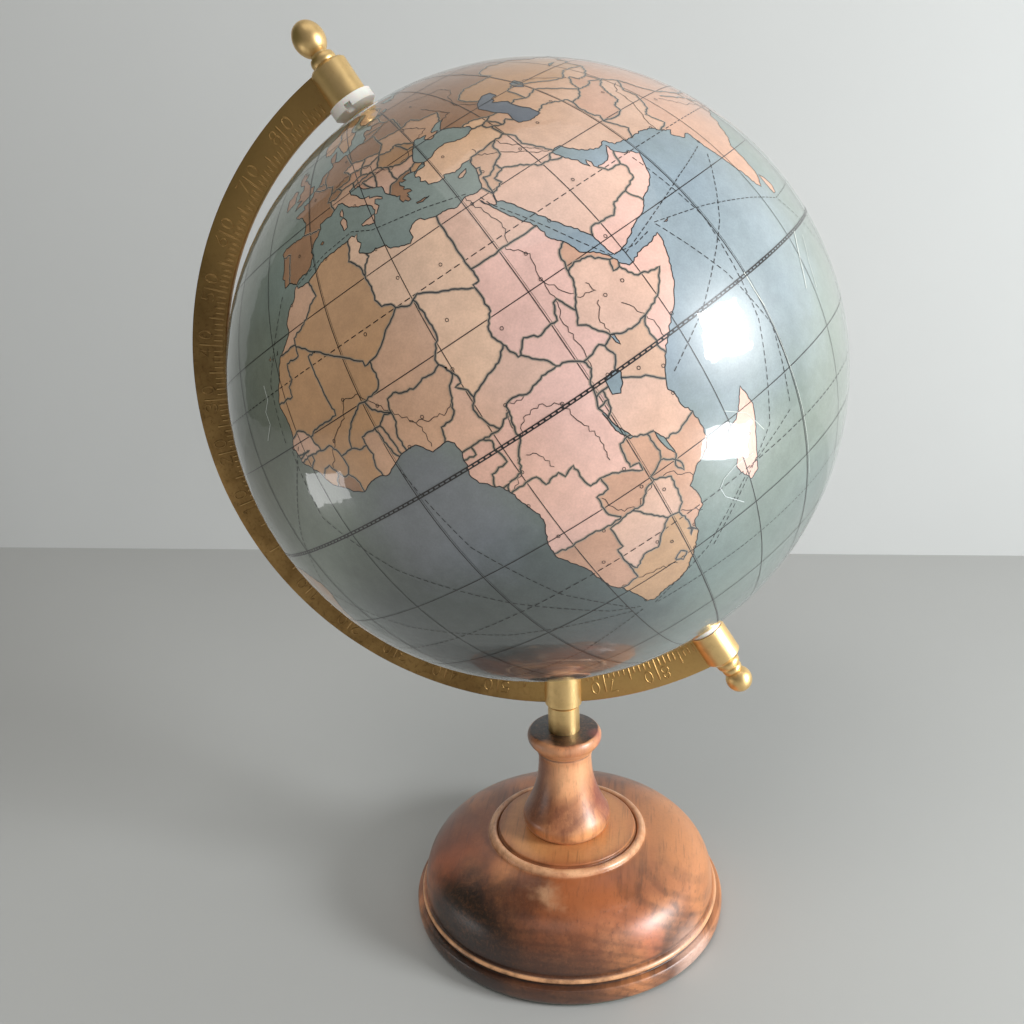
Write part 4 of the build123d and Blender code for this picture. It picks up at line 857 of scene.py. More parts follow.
borders = """
-2.2 35.1, -1.7 33.7, -1.2 32.3, -3 31.7, -3.6 30.9, -5.5 29.7, -8.7 28.7, -8.7 27.4 | -13.2 27.7, -8.7 27.7,
-8.7 27.4, -8.7 26, -12 26, -12 23.4, -13.1 22.8, -13 21.3, -17 21.4 | -8.7 27.4, -4.8 25, -6.5 25,
-5.6 16.6, -5.3 16.3, -5.5 15.5, -9.3 15.5, -10.7 15.4, -12.2 14.8 | -16.5 16, -14.9 16.6, -13.4 16.1,
-12.2 14.8, -11.4 12.4 | -4.8 25, 1.2 21.2, 1.8 20.6, 3.2 19.8, 3.2 19, 4.3 19.2, 6 19.5, 12 23.5 | 12 23.5,
11.6 24.3, 10 24.8, 9.4 26.2, 9.8 28.2, 9.5 30.2, 9.1 32.1, 7.5 33.8, 8.4 35.3, 8.6 36.95 | 9.5 30.2,
10.3 31.7, 11.5 32.5, 11.4 33.2 | 25.2 31.6, 24.9 30.5, 25 29.2, 25 22 | 25 22, 36.9 22 | 25 22, 25 20,
24 20, 24 19.5, 16 23.4, 15 23, 14.2 22.6, 12 23.5 | 15 23, 15.5 21, 15.6 18, 15.5 16.9, 13.5 14.4, 13.4 13.6
| 24 19.5, 24 15.7, 22.5 14.2, 22.2 12.8, 22.9 11.1, 21 9.5, 18.9 9, 15.5 7.5 | 22.9 11.1, 23.7 8.7,
24.2 8.7, 25.2 7.5, 26.4 6.6, 27.4 5, 25 5, 22.4 4.1, 20 4.7, 18.6 4.3, 18.6 3.5, 16.2 2.2 | 15.5 7.5,
14.5 6.2, 14.6 5, 15.1 3.8, 16.2 2.2 | 24.2 8.7, 25.8 10.4, 28 9.4, 29.5 9.8, 31 9.8, 32 12, 32.7 12.2,
33.2 11, 34 9.5 | 34 9.5, 34.9 10.9, 36.1 12.7, 36.4 14.3, 37 17, 38.6 18 | 36.4 14.3, 37.9 14.9, 40 14.5,
42.4 12.5 | 43.1 12.7, 42.4 12.5, 41.8 11, 42.9 11, 43.2 11.5 | 42.9 11, 44 9, 47 8, 48 8, 45 5, 41.9 3.9 |
41.9 3.9, 39.5 3.5, 38.1 3.6, 36 4.4, 35.3 5.4, 34 7.2, 33 7.8, 34 9.5 | 41.9 3.9, 41 2.8, 41 -0.9, 41.6 -1.7
| 36 4.4, 34.5 3.6, 35 1.9, 34.6 1.2, 33.9 0.1 | 34.5 3.6, 33.9 4.2, 31.9 3.6, 30.8 3.5, 29.5 4.4, 27.4 5 |
30.8 3.5, 31.2 2.2, 29.9 0.6, 29.6 -1.3, 29 -2.7, 29.3 -3.4 | 29.6 -1.3, 30.8 -1, 31.8 -1 | 34 -1, 37.6 -3.1,
39.2 -4.7 | 30.8 -1, 30.8 -2.4, 29 -2.7 | 30.8 -2.4, 30.5 -3.6, 29.4 -4.5 | 30.7 -8.3, 28.9 -8.4, 28.6 -9.5,
28.4 -12, 29.8 -12.2, 29.7 -13.4, 28.4 -12.5, 27 -11.8, 25.3 -11.2, 24 -10.9, 24 -12.9, 22 -13, 22 -16.2,
23.4 -17.6 | 31.1 -8.6, 32.9 -9.4, 34 -9.6 | 32.9 -9.4, 33.3 -12.5, 32.7 -13.7, 34.3 -14.6, 35.3 -16,
35.1 -17.1, 34.3 -15.7, 34.3 -14.6 | 34.6 -11.5, 37.5 -11.7, 40.5 -10.5 | 32.7 -13.7, 30.2 -14.9, 30.4 -15.6,
28.9 -16, 27 -17.9, 25.3 -17.8 | 30.4 -15.6, 32.9 -16.7, 32.7 -19.5, 32.5 -21.3, 31.3 -22.4 | 25.3 -17.8,
27.7 -20.5, 29.4 -22.1, 31.3 -22.4, 32 -24.5, 31.9 -25.9, 32.9 -26.9 | 29.4 -22.1, 26.8 -24.2, 25.6 -25.6,
23 -25.3, 20.8 -26.8, 20 -24.8 | 16.5 -28.6, 17.4 -28.8, 20 -28.4, 20 -24.8, 20 -22, 21 -22, 21 -18.3,
23.4 -17.9, 25.3 -17.8 | 11.8 -17.3, 14 -17.4, 18.5 -17.4, 21.4 -17.9, 23.4 -17.6 | 12.3 -6, 13.2 -5.9,
16.6 -5.9, 17.1 -7.5, 19.5 -7, 20 -8, 21.8 -7.3, 21.8 -9.5, 22.2 -11.1, 24 -10.9 | 12 -5.7, 12.4 -5, 13 -4.6,
11.9 -4.6 | 13 -4.6, 15.2 -4.3, 16.2 -2.2, 17.7 -0.5, 17.8 1, 18.6 3.5 | 11 -3.8, 11.6 -2.4, 14.4 -2,
14.4 -1.3, 13.9 0.2, 14.3 1.4, 13.3 2.2 | 9.8 2.2, 11.3 2.2, 13.3 2.2, 16.2 2.2 | 9.7 1, 11.3 1, 11.3 2.2 |
8.6 4.7, 9.2 6.5, 11.1 6.6, 11.8 7.1, 12.9 9.4, 13.4 10.5, 14.6 11.5, 14.2 12.9, 15.1 11, 15 10, 14 9.9,
15.3 8.7, 15.5 7.5 | 14.2 12.9, 13.6 13.6, 12.5 13.1, 10.5 13.3, 9 12.8, 7 13.1, 5.4 13.8, 4.1 13.5,
3.6 11.7, 3.6 10.3, 2.7 8.9, 2.7 6.4 | 0.9 11, 1.4 9.4, 1.6 6.2 | -0.1 11.1, 0.4 8.5, 0.6 7, 1.2 6.1 |
3.6 11.7, 2.4 12, 0.9 11, -0.1 11.1, -2.8 11, -2.8 9.7, -4.3 9.7, -5.5 10.4, -5.2 11.6, -4.3 12.7, -3 13.7,
-2 14.2, -0.5 15.1, 0.4 14.9, 1 13.4, 2.2 12.6, 2.4 12 | 0.2 15, 3.5 15.4, 4.2 16.4, 4.2 19.1 | -2.8 9.7,
-2.5 8.2, -3.2 6.8, -2.9 5.1 | -5.5 10.4, -8 10.2, -7.8 8.5, -8.5 7.6, -7.4 5.8, -7.5 4.4 | -8.5 7.6,
-9.4 7.5, -10.3 8.5, -11.5 6.9 | -13.3 9, -12.4 9.9, -11.2 10, -10.3 8.5 | -8 10.2, -8.4 11.4, -9.3 12.4,
-11.4 12.4, -13.7 12.6, -16.7 12.4 | -15.1 11, -13.7 11.7, -13.7 12.6 | -16.8 13.1, -13.8 13.3, -16.6 13.6 |
30.8 -26.8, 31.3 -25.8, 32.1 -26.5, 31.3 -27.3, 30.8 -26.8 | 27 -29.6, 28.5 -28.7, 29.4 -29.6, 28.2 -30.6,
27 -29.6 | 34.2 31.3, 34.9 29.5 | 35 29.5, 35.5 31.5, 35.6 32.7 | 35.1 33.1, 35.8 33.3, 36.5 34.4, 36 34.6 |
35.6 32.7, 36.8 32.3, 38.8 33.4, 41 34.4, 41.3 36.4, 42.4 37.1 | 36 35.9, 36.7 36.8, 38 36.8, 42.4 37.1,
44.8 37.2 | 44.8 37.2, 44.4 39.5, 44.8 39.7 | 41.5 41.5, 43.5 41.1, 43.7 40.1, 44.8 39.7 | 44.8 37.2,
46 35.8, 45.5 34, 47.7 31.4, 47.7 31, 48.6 30 | 35 29.4, 37.5 30.3, 37 31.5, 39 32, 39.2 32.2, 42.1 31.1,
44.7 29.2, 46.5 29.1, 47.5 30, 48 30 | 39.2 32.2, 38.8 33.4 | 46.5 29.1, 47.7 28.5, 48.4 28.5 | 42.8 16.4,
43.4 17.5, 45.2 17.4, 47.5 17.1, 49.1 18.6, 52 19 | 52 19, 53.1 16.7 | 52 19, 55 20, 55.7 22, 55.2 22.7 |
55.2 22.7, 52.6 22.9, 51.6 24.1 | 55.2 22.7, 55.8 24.2, 56.4 24.9 | 61.2 35.6, 60.5 34.1, 60.9 31.5, 61.7 31,
60.9 29.9, 62.8 27.3, 63.2 26.7, 61.6 25.2 | 60.9 29.9, 64 29.4, 66.3 29.9, 66.9 31.3, 69.3 31.9, 70 34,
71.6 36, 74.9 37.2 | 61.2 35.6, 64 36, 66.5 37.4, 69.5 37.2, 71.5 38, 74.9 37.2 | 53.9 37.3, 56.5 38.2,
58.5 37.6, 61.2 36.6, 61.2 35.6 | 48.9 38.4, 48 39.6, 46.5 38.9, 44.8 39.7 | 43.5 41.1, 45 41.3, 46.5 41.9,
48.6 41.8 | 40 43.4, 43 43.1, 46.5 41.9 | 45 41.3, 46 40.2, 46.5 38.9 | 52.5 41.7, 54 42.3, 56 41.3, 57 41.3,
60 42.2, 62 41, 66.5 37.4 | 56 41.3, 56 45, 58.6 45.6, 61 44.3, 66 42, 69 41.4, 71 42.3, 73.5 43.1, 80.2 42.2
| 67.8 37.2, 68 39.6, 70.5 40.9, 71 39.4, 73.8 39.5 | 80.2 42.2, 76.5 40.4, 73.8 39.5, 74.9 37.2 | 80.2 42.2,
80.3 45, 82.6 45.3, 83 47.2, 85.5 47.1, 87.3 49.1 | 49.2 46.3, 47 48, 46.7 49.3, 48.7 50.6, 51.5 51.5, 55 51,
58.5 51.1, 61 51, 60.5 53, 62 54, 69 55.3, 71.2 54.2, 76.8 54.4, 80 51, 83.5 51, 87.3 49.1 | 87.3 49.1,
92.5 50.8, 98 50.5, 98.9 52.1, 102.2 50.5, 107 49.7, 113 49.6, 116.7 49.9, 119.8 53, 125.5 53, 130.7 48.9,
134.7 48.4, 131.2 45, 130.7 42.3 | 116.7 49.9, 116 48, 119.9 46.7, 112 43.8, 105 41.6, 96.5 42.7, 91 45.2,
87.3 49.1 | 124.3 39.9, 126.9 41.7, 130.7 42.3 | 126.7 37.8, 128.4 38.6 | 74.9 37.2, 77.9 35.4, 78.8 32.6,
81.2 30, 88.1 27.9, 92 27.6, 97.3 28.3 | 80.1 28.8, 84 27.4, 88.1 26.4, 88.1 27.9 | 77.9 35.4, 74 33,
74.5 31, 72 28, 69.6 27.2, 71 24.4, 68.2 23.8 | 89 21.9, 88.7 24.3, 88.3 26.2, 89.8 25.3, 92.2 25, 91.3 23.6,
92.3 22, 92.3 20.8 | 92.3 22, 93.3 24, 94.6 26, 97.3 28.3 | 97.3 28.3, 98.7 27.5, 97.6 23.9, 99.2 22.1,
101.2 21.5, 100.1 20.4, 97.8 18.5, 98.9 16.3, 98.2 15.1, 99.5 11.8, 98.8 10 | 101.2 21.5, 102.2 22.4,
105.3 23.3, 108 21.6 | 100.1 20.4, 101.2 17.5, 104.4 18.2, 105.6 14.4, 107.5 14.5 | -1.8 43.4, 0.7 42.7,
3.1 42.4 | -8.8 41.9, -6.6 41.9, -7 39.7, -7.4 37.2 | 7.5 43.8, 6.9 45.1, 7 45.9, 6.1 46.2, 7.6 47.6 |
7 45.9, 9 45.9, 10.5 46.6, 9.6 47.5, 7.6 47.6, 8.2 49, 6.4 49.5, 4.2 50, 2.5 51.1 | 3.4 51.4, 6 50.8,
6.1 51.9, 7.2 53.3 | 6.4 49.5, 6 50.8 | 9.6 47.5, 13 47.6, 13.8 48.7, 12.2 50.3, 14.9 50.9, 14.2 53.9 |
10.5 46.6, 13.7 46.5, 16.1 46.8 | 13.7 46.5, 13.6 45.6 | 14.9 50.9, 18.6 49.9, 22.6 49.1 | 13.8 48.7,
17 48.4, 18.6 49.5 | 17 48.1, 18.8 47.8, 22.1 48.4, 20.3 46.1, 18.8 45.9, 16.1 46.8, 17 48.1 | 22.6 49.1,
24.1 50.5, 23.6 52, 23.5 54, 22.7 54.4, 19.6 54.4 | 22.6 49.1, 22.1 48.4, 24.9 47.7, 26.6 48.3, 28.2 45.5,
29.7 45.3 | 20.3 46.1, 22.5 44.6, 25.5 43.6, 28.6 43.8 | 22.5 44.6, 22.4 42.3, 22.9 41.3, 26.3 41.7, 28 42 |
20 39.7, 21 40.9, 22.9 41.3 | 26 40.8, 26.3 41.7 | 13.6 45.5, 15.7 45.8, 18.8 45.9 | 19 44.9, 18.5 42.5 |
17.6 43, 15.8 45.2, 19 44.9, 18.8 45.9 | 23.6 51.5, 30.6 51.3, 34.1 52, 35.4 50.4, 40.1 49.6, 38.3 47.2 |
31.8 52.1, 30.9 55.6, 28.2 56.2 | 22.7 54.4, 26.6 55.7, 28.2 56.2, 27.6 57.5, 28 59.4 | 21 56.1, 26.6 55.7 |
24.4 57.9, 27.6 57.5 | 28 60.5, 31.5 62.9, 29 66.9, 29 69.1, 30.9 69.8 | 29 69.1, 26 69.8, 20.6 69.1,
24.1 65.8 | 20.6 69.1, 16 67.5, 14 64.5, 12.1 63.5, 12.5 61, 11.3 59.1 | 8.7 54.9, 9.9 54.8 | 26.6 48.3,
30 46.4 | -123 49, -95 49, -88 48.2, -83 46, -82.5 42.5, -79 43.3, -75 45, -71 45.3, -67 45.2 | -141 69.6,
-141 60.2, -135 59.6, -130.1 55.5 | -117 32.5, -114.8 32.4, -108 31.5, -103.2 29, -99.5 27.5, -97.3 25.9 |
-92.3 14.6, -90.9 17.6, -89.1 17.8 | -60.2 5.2, -64 4, -67 1.2, -69.9 -1.2, -70 -4.3, -73.5 -7.4, -70.5 -10,
-65.3 -11, -60.2 -16, -58 -20, -57.8 -22.2, -54.4 -25.6, -57.6 -30.2, -53.4 -33.6 | -57.6 -30.2, -58.4 -33.9
| -57.8 -22.2, -62.6 -22.2, -67 -22.8, -69 -18, -69.3 -11 | -67 -22.8, -70 -33, -71.5 -43, -72.5 -50,
-68.5 -52.4 | -77.3 8.2, -77.5 4.4 | -78.8 1.4, -75.3 -0.2, -70 -4.3 | -71.9 11.6, -72.4 8, -67.4 6, -67 1.2
"""
rivers = """
31 31.5, 31.2 30, 32.7 26, 32.9 24, 31 21.5, 33.5 19.2, 32.5 15.6, 32.5 12, 31.5 9.5, 31.6 6, 31.3 2.2 |
32.5 15.6, 34.5 12, 36 10.5, 38 10.2, 37.4 11.8 | -10.7 9.2, -8 12.6, -4.2 14.5, -3 16.7, 0 16.3, 2.1 13.5,
4.5 11, 6.7 7.8, 6.4 5 | 12.4 -6, 15.3 -4.3, 16.2 -2.2, 17.7 -0.5, 19.8 1.8, 22.5 2.1, 25.2 0.5, 26 -3,
27 -6, 26.5 -9.5 | 19.5 -6, 18.5 -3.2, 17.2 -2.6 | 22 4, 18.6 4.3, 17.8 1 | 16.5 -28.6, 20 -28.6, 24 -29.5,
27 -30.5 | 36 -18.6, 33 -16, 30 -15.8, 26 -17.8, 23.5 -16.5, 22.5 -13.5 | 35 -24.5, 32 -22.4, 29 -22.2 |
5.5 9.5, 8 8, 11 7.8, 13 9.2 | 36.1 4.5, 36 7, 37.5 9 | 42.5 0, 42 4, 40 7 | 48.5 30.1, 46 31.2, 44 33,
41 35, 38.5 36, 38 38 | 47.3 31.2, 45.5 33, 43.5 35.5, 42 37.3 | 47.8 46, 44.5 48.7, 46 51.5, 49.5 53.5,
49 55.7, 44 56.3, 38.8 58.1 | 29.6 45.2, 28 45.3, 27.5 44.1, 23 43.8, 21.4 44.8, 19 45.5, 19 47.6, 16.4 48.2,
12.2 48.9, 9 48.1 | 39.3 47.2, 42 47.6, 40 50.5, 38.5 53 | 31.5 46.6, 34.8 47.6, 33 49.2, 30.6 51, 31.5 54 |
67.4 24, 68.5 27, 71 30, 72 33.5, 76 35 | 90 22.8, 88 24.5, 83 25.5, 78.5 28.5 | 71 66.5, 66 63, 69 58.5,
74.5 56, 81 53.5 | 82.7 71.5, 86.5 67, 89 61, 92 57, 92 54 | 127 71.5, 124 66, 129.5 62, 118 60, 108 56 |
60 46, 65 44.5, 69.5 41
"""
sea_routes = """
-18 14.5, -19 4, -12 -8, 0 -21, 12 -32, 17.5 -35 | 0 5, 2 -10, 8 -24, 16 -34.5 | -35 -8, -22 -18, -6 -27,
16 -35 | -57 -36, -40 -38.5, -20 -39.5, 0 -38.5, 17 -35.5 | 19.5 -35.6, 33 -31.5, 45 -24, 57.5 -20.5 |
20 -35.8, 40 -36.5, 65 -36.5, 90 -35.5, 115 -34 | 45 12, 53 14.2, 62 16.5, 72 18.6 | 52 13.2, 62 11, 72 8,
79.5 5.4, 88 5.6, 95 6 | 52 12.9, 57 2, 60 -8, 57.7 -19.5 | 41 -4.5, 50 0, 62 8, 72 17 | 58 22.5, 60 10,
58 -6, 52 -20, 34 -32 | 80 5, 92 -10, 104 -22, 114 -31 | -10 36, -18 25, -19 15 | -16 14.6, -28 3, -34 -6 |
33 30.2, 33.6 28.2, 36 24.5, 38.4 20.5, 40.6 16.6, 43 12.9, 47 12.2, 51 12.8 | -5 36, 3 37.6, 10 38, 14 36,
24 34, 31.5 31.9
"""
tints = """
umber: 35 57, 100 62, 60 62, 10 51, 24 59, -4 40, -9 6, 3 47, 22 39, 28 53, 20 52 | ochre: -5 8, -12 8,
-2 12, 2 28, -16 12, -11 10, -10 20, 90 35, 102 15, -100 40, -62 -10, 135 -25, 127 38, 66 48, 28 -29, -2 18,
25 46, 15 63, -105 60 | tan: -6 32, 9 17, 8 9, 1 7, 64 40, -100 55, -65 -35, 33 49, 36 34, 26 64, 69 30,
46 40, 54 32, 59 39, 38 1, 12 42, -53 -8 | pale: 17 27, 19 15, 9 34, 34 39, 45 42, 140 37 | rose: 12 6,
20 6.5, 29 27, 38 8, -14.5 14.5, 105 46, -102 23, -75 -10, 22 44, 96 21, 17 48, 68 34, 33 1.5, 31 -19,
24 -22, 45 24, 35 -6, 43 34 | pink: 23 -2, 30 15, 12 0, 46 5, 16 0, 18 -13, 47 -19, 30 7, 54 23, 48 15,
57 21, 30 -2 | peach: 17 -22, 28 -15, 40 15, 34 -13.5, -70 4, 66 33, 73 38, 75 21, 14 47, 107 14, 105 35
"""
cities = """
31.2 30, 13.2 32.8, 3 36.7, -7.6 33.6, -17.4 14.7, 3.4 6.5, 32.5 15.5, 38.7 9, 36.8 -1.3, 15.3 -4.3,
13.2 -8.8, 28 -26.2, 18.4 -33.9, 28.3 -15.4, 47.5 -18.9, 39.2 -6.8, 45.3 2, 46.7 24.6, 44.4 33.3, 51.4 35.7,
32.8 39.9, 29 41, 37.6 55.8, 2.3 48.9, -3.7 40.4, 12.5 41.9, 13.4 52.5, 30.5 50.4, 7.5 9, -8 12.6, 2.1 13.5,
15 12.1, 18.6 4.4, 32.6 0.3, 25.2 0.5, 27.5 -11.7, 31 -17.8, 32.6 -25.9, 17 -22.6, 25.9 -24.7, 44.2 15.4,
58.4 23.6, 36.3 33.5, 67 24.9, 72.8 19, 77.2 28.6, 69.2 34.5, 58.4 38, 69.3 41.3, 60.6 56.8, 82.9 55,
39 21.5, 14.5 27, 21.5 25, 5.5 22.8, -3 16.8, 18 18, 24 13, 33 19.5, 42 9.3, 40 -3, 20 -18, 31 -29.8, 14 -15
"""


def outlines(text):
    """Lines of (longitude, latitude) from text: pairs between commas, lines between upright strokes."""
    return [
        [tuple(float(number) for number in pair.split()) for pair in line.split(",") if pair.strip()]
        for line in text.replace("\n", " ").split("|")
    ]


def between(start, end, t):
    """The place a portion of the way from one place to another."""
    return (start[0] + (end[0] - start[0]) * t, start[1] + (end[1] - start[1]) * t)


drift = random.Random(7)
wander_step, sheet_end, map_edge = 0.42, 179.9, 81.6


def roughened(line, size, closed):
    """The line with a small wander put in between its points, as a drawn coast or border has."""
    ends = line[1:] + line[:1] if closed else line[1:]
    result = []
    for start, end in zip(line, ends):
        result.append(start)
        gap = math.dist(start, end)
        pieces = min(6, int(gap / wander_step))
        if abs(start[0]) >= sheet_end and abs(end[0]) >= sheet_end:
            continue
        for k in range(1, pieces):
            x, y = between(start, end, k / pieces)
            away = drift.uniform(-size, size) * min(1.0, gap / 2)
            result.append((x + (end[1] - start[1]) / gap * away, y + (start[0] - end[0]) / gap * away))
    if not closed:
        result.append(line[-1])
    return result


land_rings = [roughened(ring, 0.16, True) for ring in outlines(afro_eurasia) + outlines(americas)]
land_rings += [roughened(ring, 0.10, True) for ring in outlines(islands)]
antarctic = roughened(outlines(antarctic_coast)[0], 0.2, False)
land_rings.append(antarctic + [(180, -map_edge), (-180, -map_edge)])
lake_rings = [roughened(ring, 0.08, True) for ring in outlines(lakes)]
border_lines = [list(line) for line in outlines(borders)]

# Each border is drawn on to the nearest coast, shore or other border, so that it closes its country.
join_reach = 1.6
anchors = [point for ring in land_rings + lake_rings for point in ring]
for line in border_lines:
    others = anchors + [point for other in border_lines if other is not line for point in other]
    for end in (0, -1):
        nearest = min(others, key=lambda point: math.dist(point, line[end]))
        if math.dist(nearest, line[end]) < join_reach:
            line[end] = nearest
border_lines = [roughened(roughened(line, 0.16, False), 0.09, False) for line in border_lines]

# The sheet is printed a little larger than the ball's true scale, and sits slightly askew on it.
map_radius = 99.9
map_turn = 103.5
stretch_north, stretch_south, polar_squeeze = 1.053, 1.043, 0.86
askew = Matrix.Rotation(math.radians(0.57), 3, "Y") @ Matrix.Rotation(math.radians(0.47), 3, across)


def on_ball(longitude, latitude, radius=map_radius):
    """A point of the map on the ball."""
    away = abs(latitude)
    scale = stretch_north if latitude > 0 else stretch_south
    raised = math.radians(math.copysign(min(scale * away, 90 - (90 - away) * polar_squeeze), latitude))
    turn = math.radians(longitude - map_turn)
    flat = across * math.cos(turn) + Vector((0, 1, 0)) * math.sin(turn)
    return ball_centre + askew @ (flat * math.cos(raised) + polar_axis * math.sin(raised)) * radius


def inside(point, ring):
    """Whether a place lies inside a closed line."""
    x, y = point
    odd = False
    for (ax, ay), (bx, by) in zip(ring, ring[1:] + ring[:1]):
        if (ay > y) != (by > y) and x < (bx - ax) * (y - ay) / (by - ay) + ax:
            odd = not odd
    return odd


# Where the clear film has folded on itself it catches the light in pale hairlines, which are painted on as
# highlights: along the joint of two strips of the map and in a few creases. Each is a line and its width.
fold_highlights = [
    ([(60.0, 0.4), (60.0, -2.5), (60.3, -5.2)], 0.32),
    ([(60.3, -5.2), (60.2, -12), (60.5, -22), (60.7, -34)], 0.14),
    ([(47.0, -22.0), (43.0, -21.8), (40.4, -22.4), (39.2, -23.4), (39.5, -25.2), (42.5, -28.4)], 0.20),
    ([(78.0, -0.1), (76.2, -2.0), (74.6, -4.0), (72.3, -7.8)], 0.40),
    ([(80.5, -1.5), (77.5, -5.0), (76.0, -9.0)], 0.18),
    ([(-20.3, 25.4), (-20.1, 23.1), (-21.8, 21.7), (-21.5, 19.7), (-24.0, 17.8)], 0.24),
    ([(45.0, -13.5), (48.5, -16.0), (50.5, -20.0)], 0.14),
]

# The sheet is cut along every coast, shore and border, so that each country is a patch of its own tint.
corners, cuts = [], []


def cut_along(line, closed):
    """Cuts the sheet along a line."""
    start = len(corners)
    corners.extend(Vector(point) for point in line)
    cuts.extend((start + k, start + k + 1) for k in range(len(line) - 1))
    if closed:
        cuts.append((len(corners) - 1, start))


for ring in land_rings[:-1] + lake_rings:
    cut_along(ring, True)
for line in border_lines + [antarctic]:
    cut_along(line, False)
grid, merged_within = 3.0, 1e-5
for row in range(int(2 * map_edge / grid) + 2):
    latitude = min(-map_edge + row * grid, map_edge)
    corners.extend(Vector((-180 + grid * k, latitude)) for k in range(int(360 / grid) + 1))
places, edges, triangles, _, edge_sources, _ = delaunay_2d_cdt(corners, cuts, [], 0, merged_within, True)
cut_edges = {frozenset(edge) for edge, sources in zip(edges, edge_sources) if sources}


def edges_of(triangle):
    return [frozenset(pair) for pair in zip(triangle, triangle[1:] + triangle[:1])]


sharing = {}
for index, triangle in enumerate(triangles):
    for edge in edges_of(triangle):
        sharing.setdefault(edge, []).append(index)

# The printer's inks, and the white of the painted highlights on the film's folds. The sea's has an alpha of
# none, which tells sea from land in the material.
inks = {
    "sea": srgb(118, 130, 122)[:3] + [0.0],
    "umber": srgb(156, 116, 86),
    "ochre": srgb(192, 150, 113),
    "tan": srgb(206, 165, 138),
    "pale": srgb(226, 186, 156),
    "rose": srgb(216, 175, 153),
    "pink": srgb(223, 178, 162),
    "peach": srgb(198, 152, 126),
    "ice": srgb(206, 178, 152),
    "halo": srgb(158, 140, 122),
    "border": srgb(50, 52, 54),
    "black": srgb(30, 26, 26),
    "white": srgb(196, 202, 198),
}
seeds = []
for entry in tints.replace("\n", " ").split("|"):
    tint, listed = entry.split(":")
    seeds += [(tint.strip(), point) for point in outlines(listed)[0]]
triangle_places = np.array([[tuple(places[corner]) for corner in triangle] for triangle in triangles])


def triangle_at(point):
    """The triangle of the sheet that a place lies in."""
    away = triangle_places - np.array(point)
    turns = away[:, :, 0] * np.roll(away, -1, 1)[:, :, 1] - away[:, :, 1] * np.roll(away, -1, 1)[:, :, 0]
    return int(np.argmax(turns.min(axis=1) * turns.max(axis=1) >= 0))


def area_of(index):
    a, b, c = (places[corner] for corner in triangles[index])
    return abs((b - a).cross(c - a))


patch = [None] * len(triangles)


def patch_from(first):
    """All the triangles that hang together with the first one, up to the cuts."""
    members, queue = [], [first]
    patch[first] = "sea"
    while queue:
        index = queue.pop()
        members.append(index)
        for edge in edges_of(triangles[index]):
            for other in sharing[edge] if edge not in cut_edges else ():
                if patch[other] is None:
                    patch[other] = "sea"
                    queue.append(other)
    return members


# Each patch of land takes the tint of the seed that lies in it, or else of the nearest one. Antarctica and
# Greenland stay the colour of ice.
seeded = {}
for tint, point in seeds:
    seeded.setdefault(triangle_at(point), tint)
for first in range(len(triangles)):
    if patch[first] is not None:
        continue
    members = patch_from(first)
    widest = triangles[max(members, key=area_of)]
    home = tuple(sum((places[corner] for corner in widest), Vector((0, 0))) / 3)
    on_land = any(inside(home, ring) for ring in land_rings)
    if not on_land or any(inside(home, ring) for ring in lake_rings):
        continue
    own = [seeded[index] for index in members if index in seeded]
    closest = min(seeds, key=lambda seed: math.dist(seed[1], home))
    tint = own[0] if own else closest[0]
    if home[1] < -60 or (home[1] > 60 and -75 < home[0] < -12):
        tint = "ice"
    for index in members:
        patch[index] = tint

skin_points = [on_ball(point.x, point.y) for point in places]
skin_faces = [tuple(triangle) for triangle in triangles]
skin_inks = [inks[tint] for tint in patch]

# Round each pole the sheet runs on, unprinted, to its hole under the eyelet's rim.
hole_radius, cap_rows = 6.8, 4
count = int(360 / grid)
for pole, tint in ((1, "sea"), (-1, "ice")):
    first = len(skin_points)
    rim = [on_ball(-180 + grid * k, pole * map_edge) - ball_centre for k in range(count)]
    for row in range(cap_rows + 1):
        for point in rim:
            out = point - polar_axis * point.dot(polar_axis)
            out = out.lerp(out.normalized() * hole_radius, row / cap_rows)
            rise = math.sqrt(map_radius**2 - out.length_squared)
            skin_points.append(ball_centre + out + polar_axis * pole * rise)
    for row in range(cap_rows):
        for k in range(count):
            low, after = first + row * count, (k + 1) % count
            quad = (low + k, low + after, low + count + after, low + count + k)
            skin_faces.append(quad if pole > 0 else quad[::-1])
            skin_inks.append(inks[tint])

# Each kind of line with its width, its ink and how far it lies above the sheet. All are printed but the
# folds, whose pale lines are painted highlights. The ones that cross have heights of their own, so that none
# flickers in another.
kinds = {
    "grid": (0.24, "black", 0.045),
    "joint": (0.10, "border", 0.045),
    "tropic": (0.26, "black", 0.045),
    "route": (0.22, "black", 0.045),
    "river": (0.18, "black", 0.045),
    "halo": (0.80, "halo", 0.047),
    "border": (0.36, "border", 0.05),
    "coast": (0.26, "black", 0.055),
    "rail": (0.34, "black", 0.058),
    "rung": (0.58, "black", 0.058),
    "town": (0.16, "black", 0.06),
    "fold_highlight": (0.20, "white", 0.065),
}
longest_step, nothing = 1.5, 1e-9


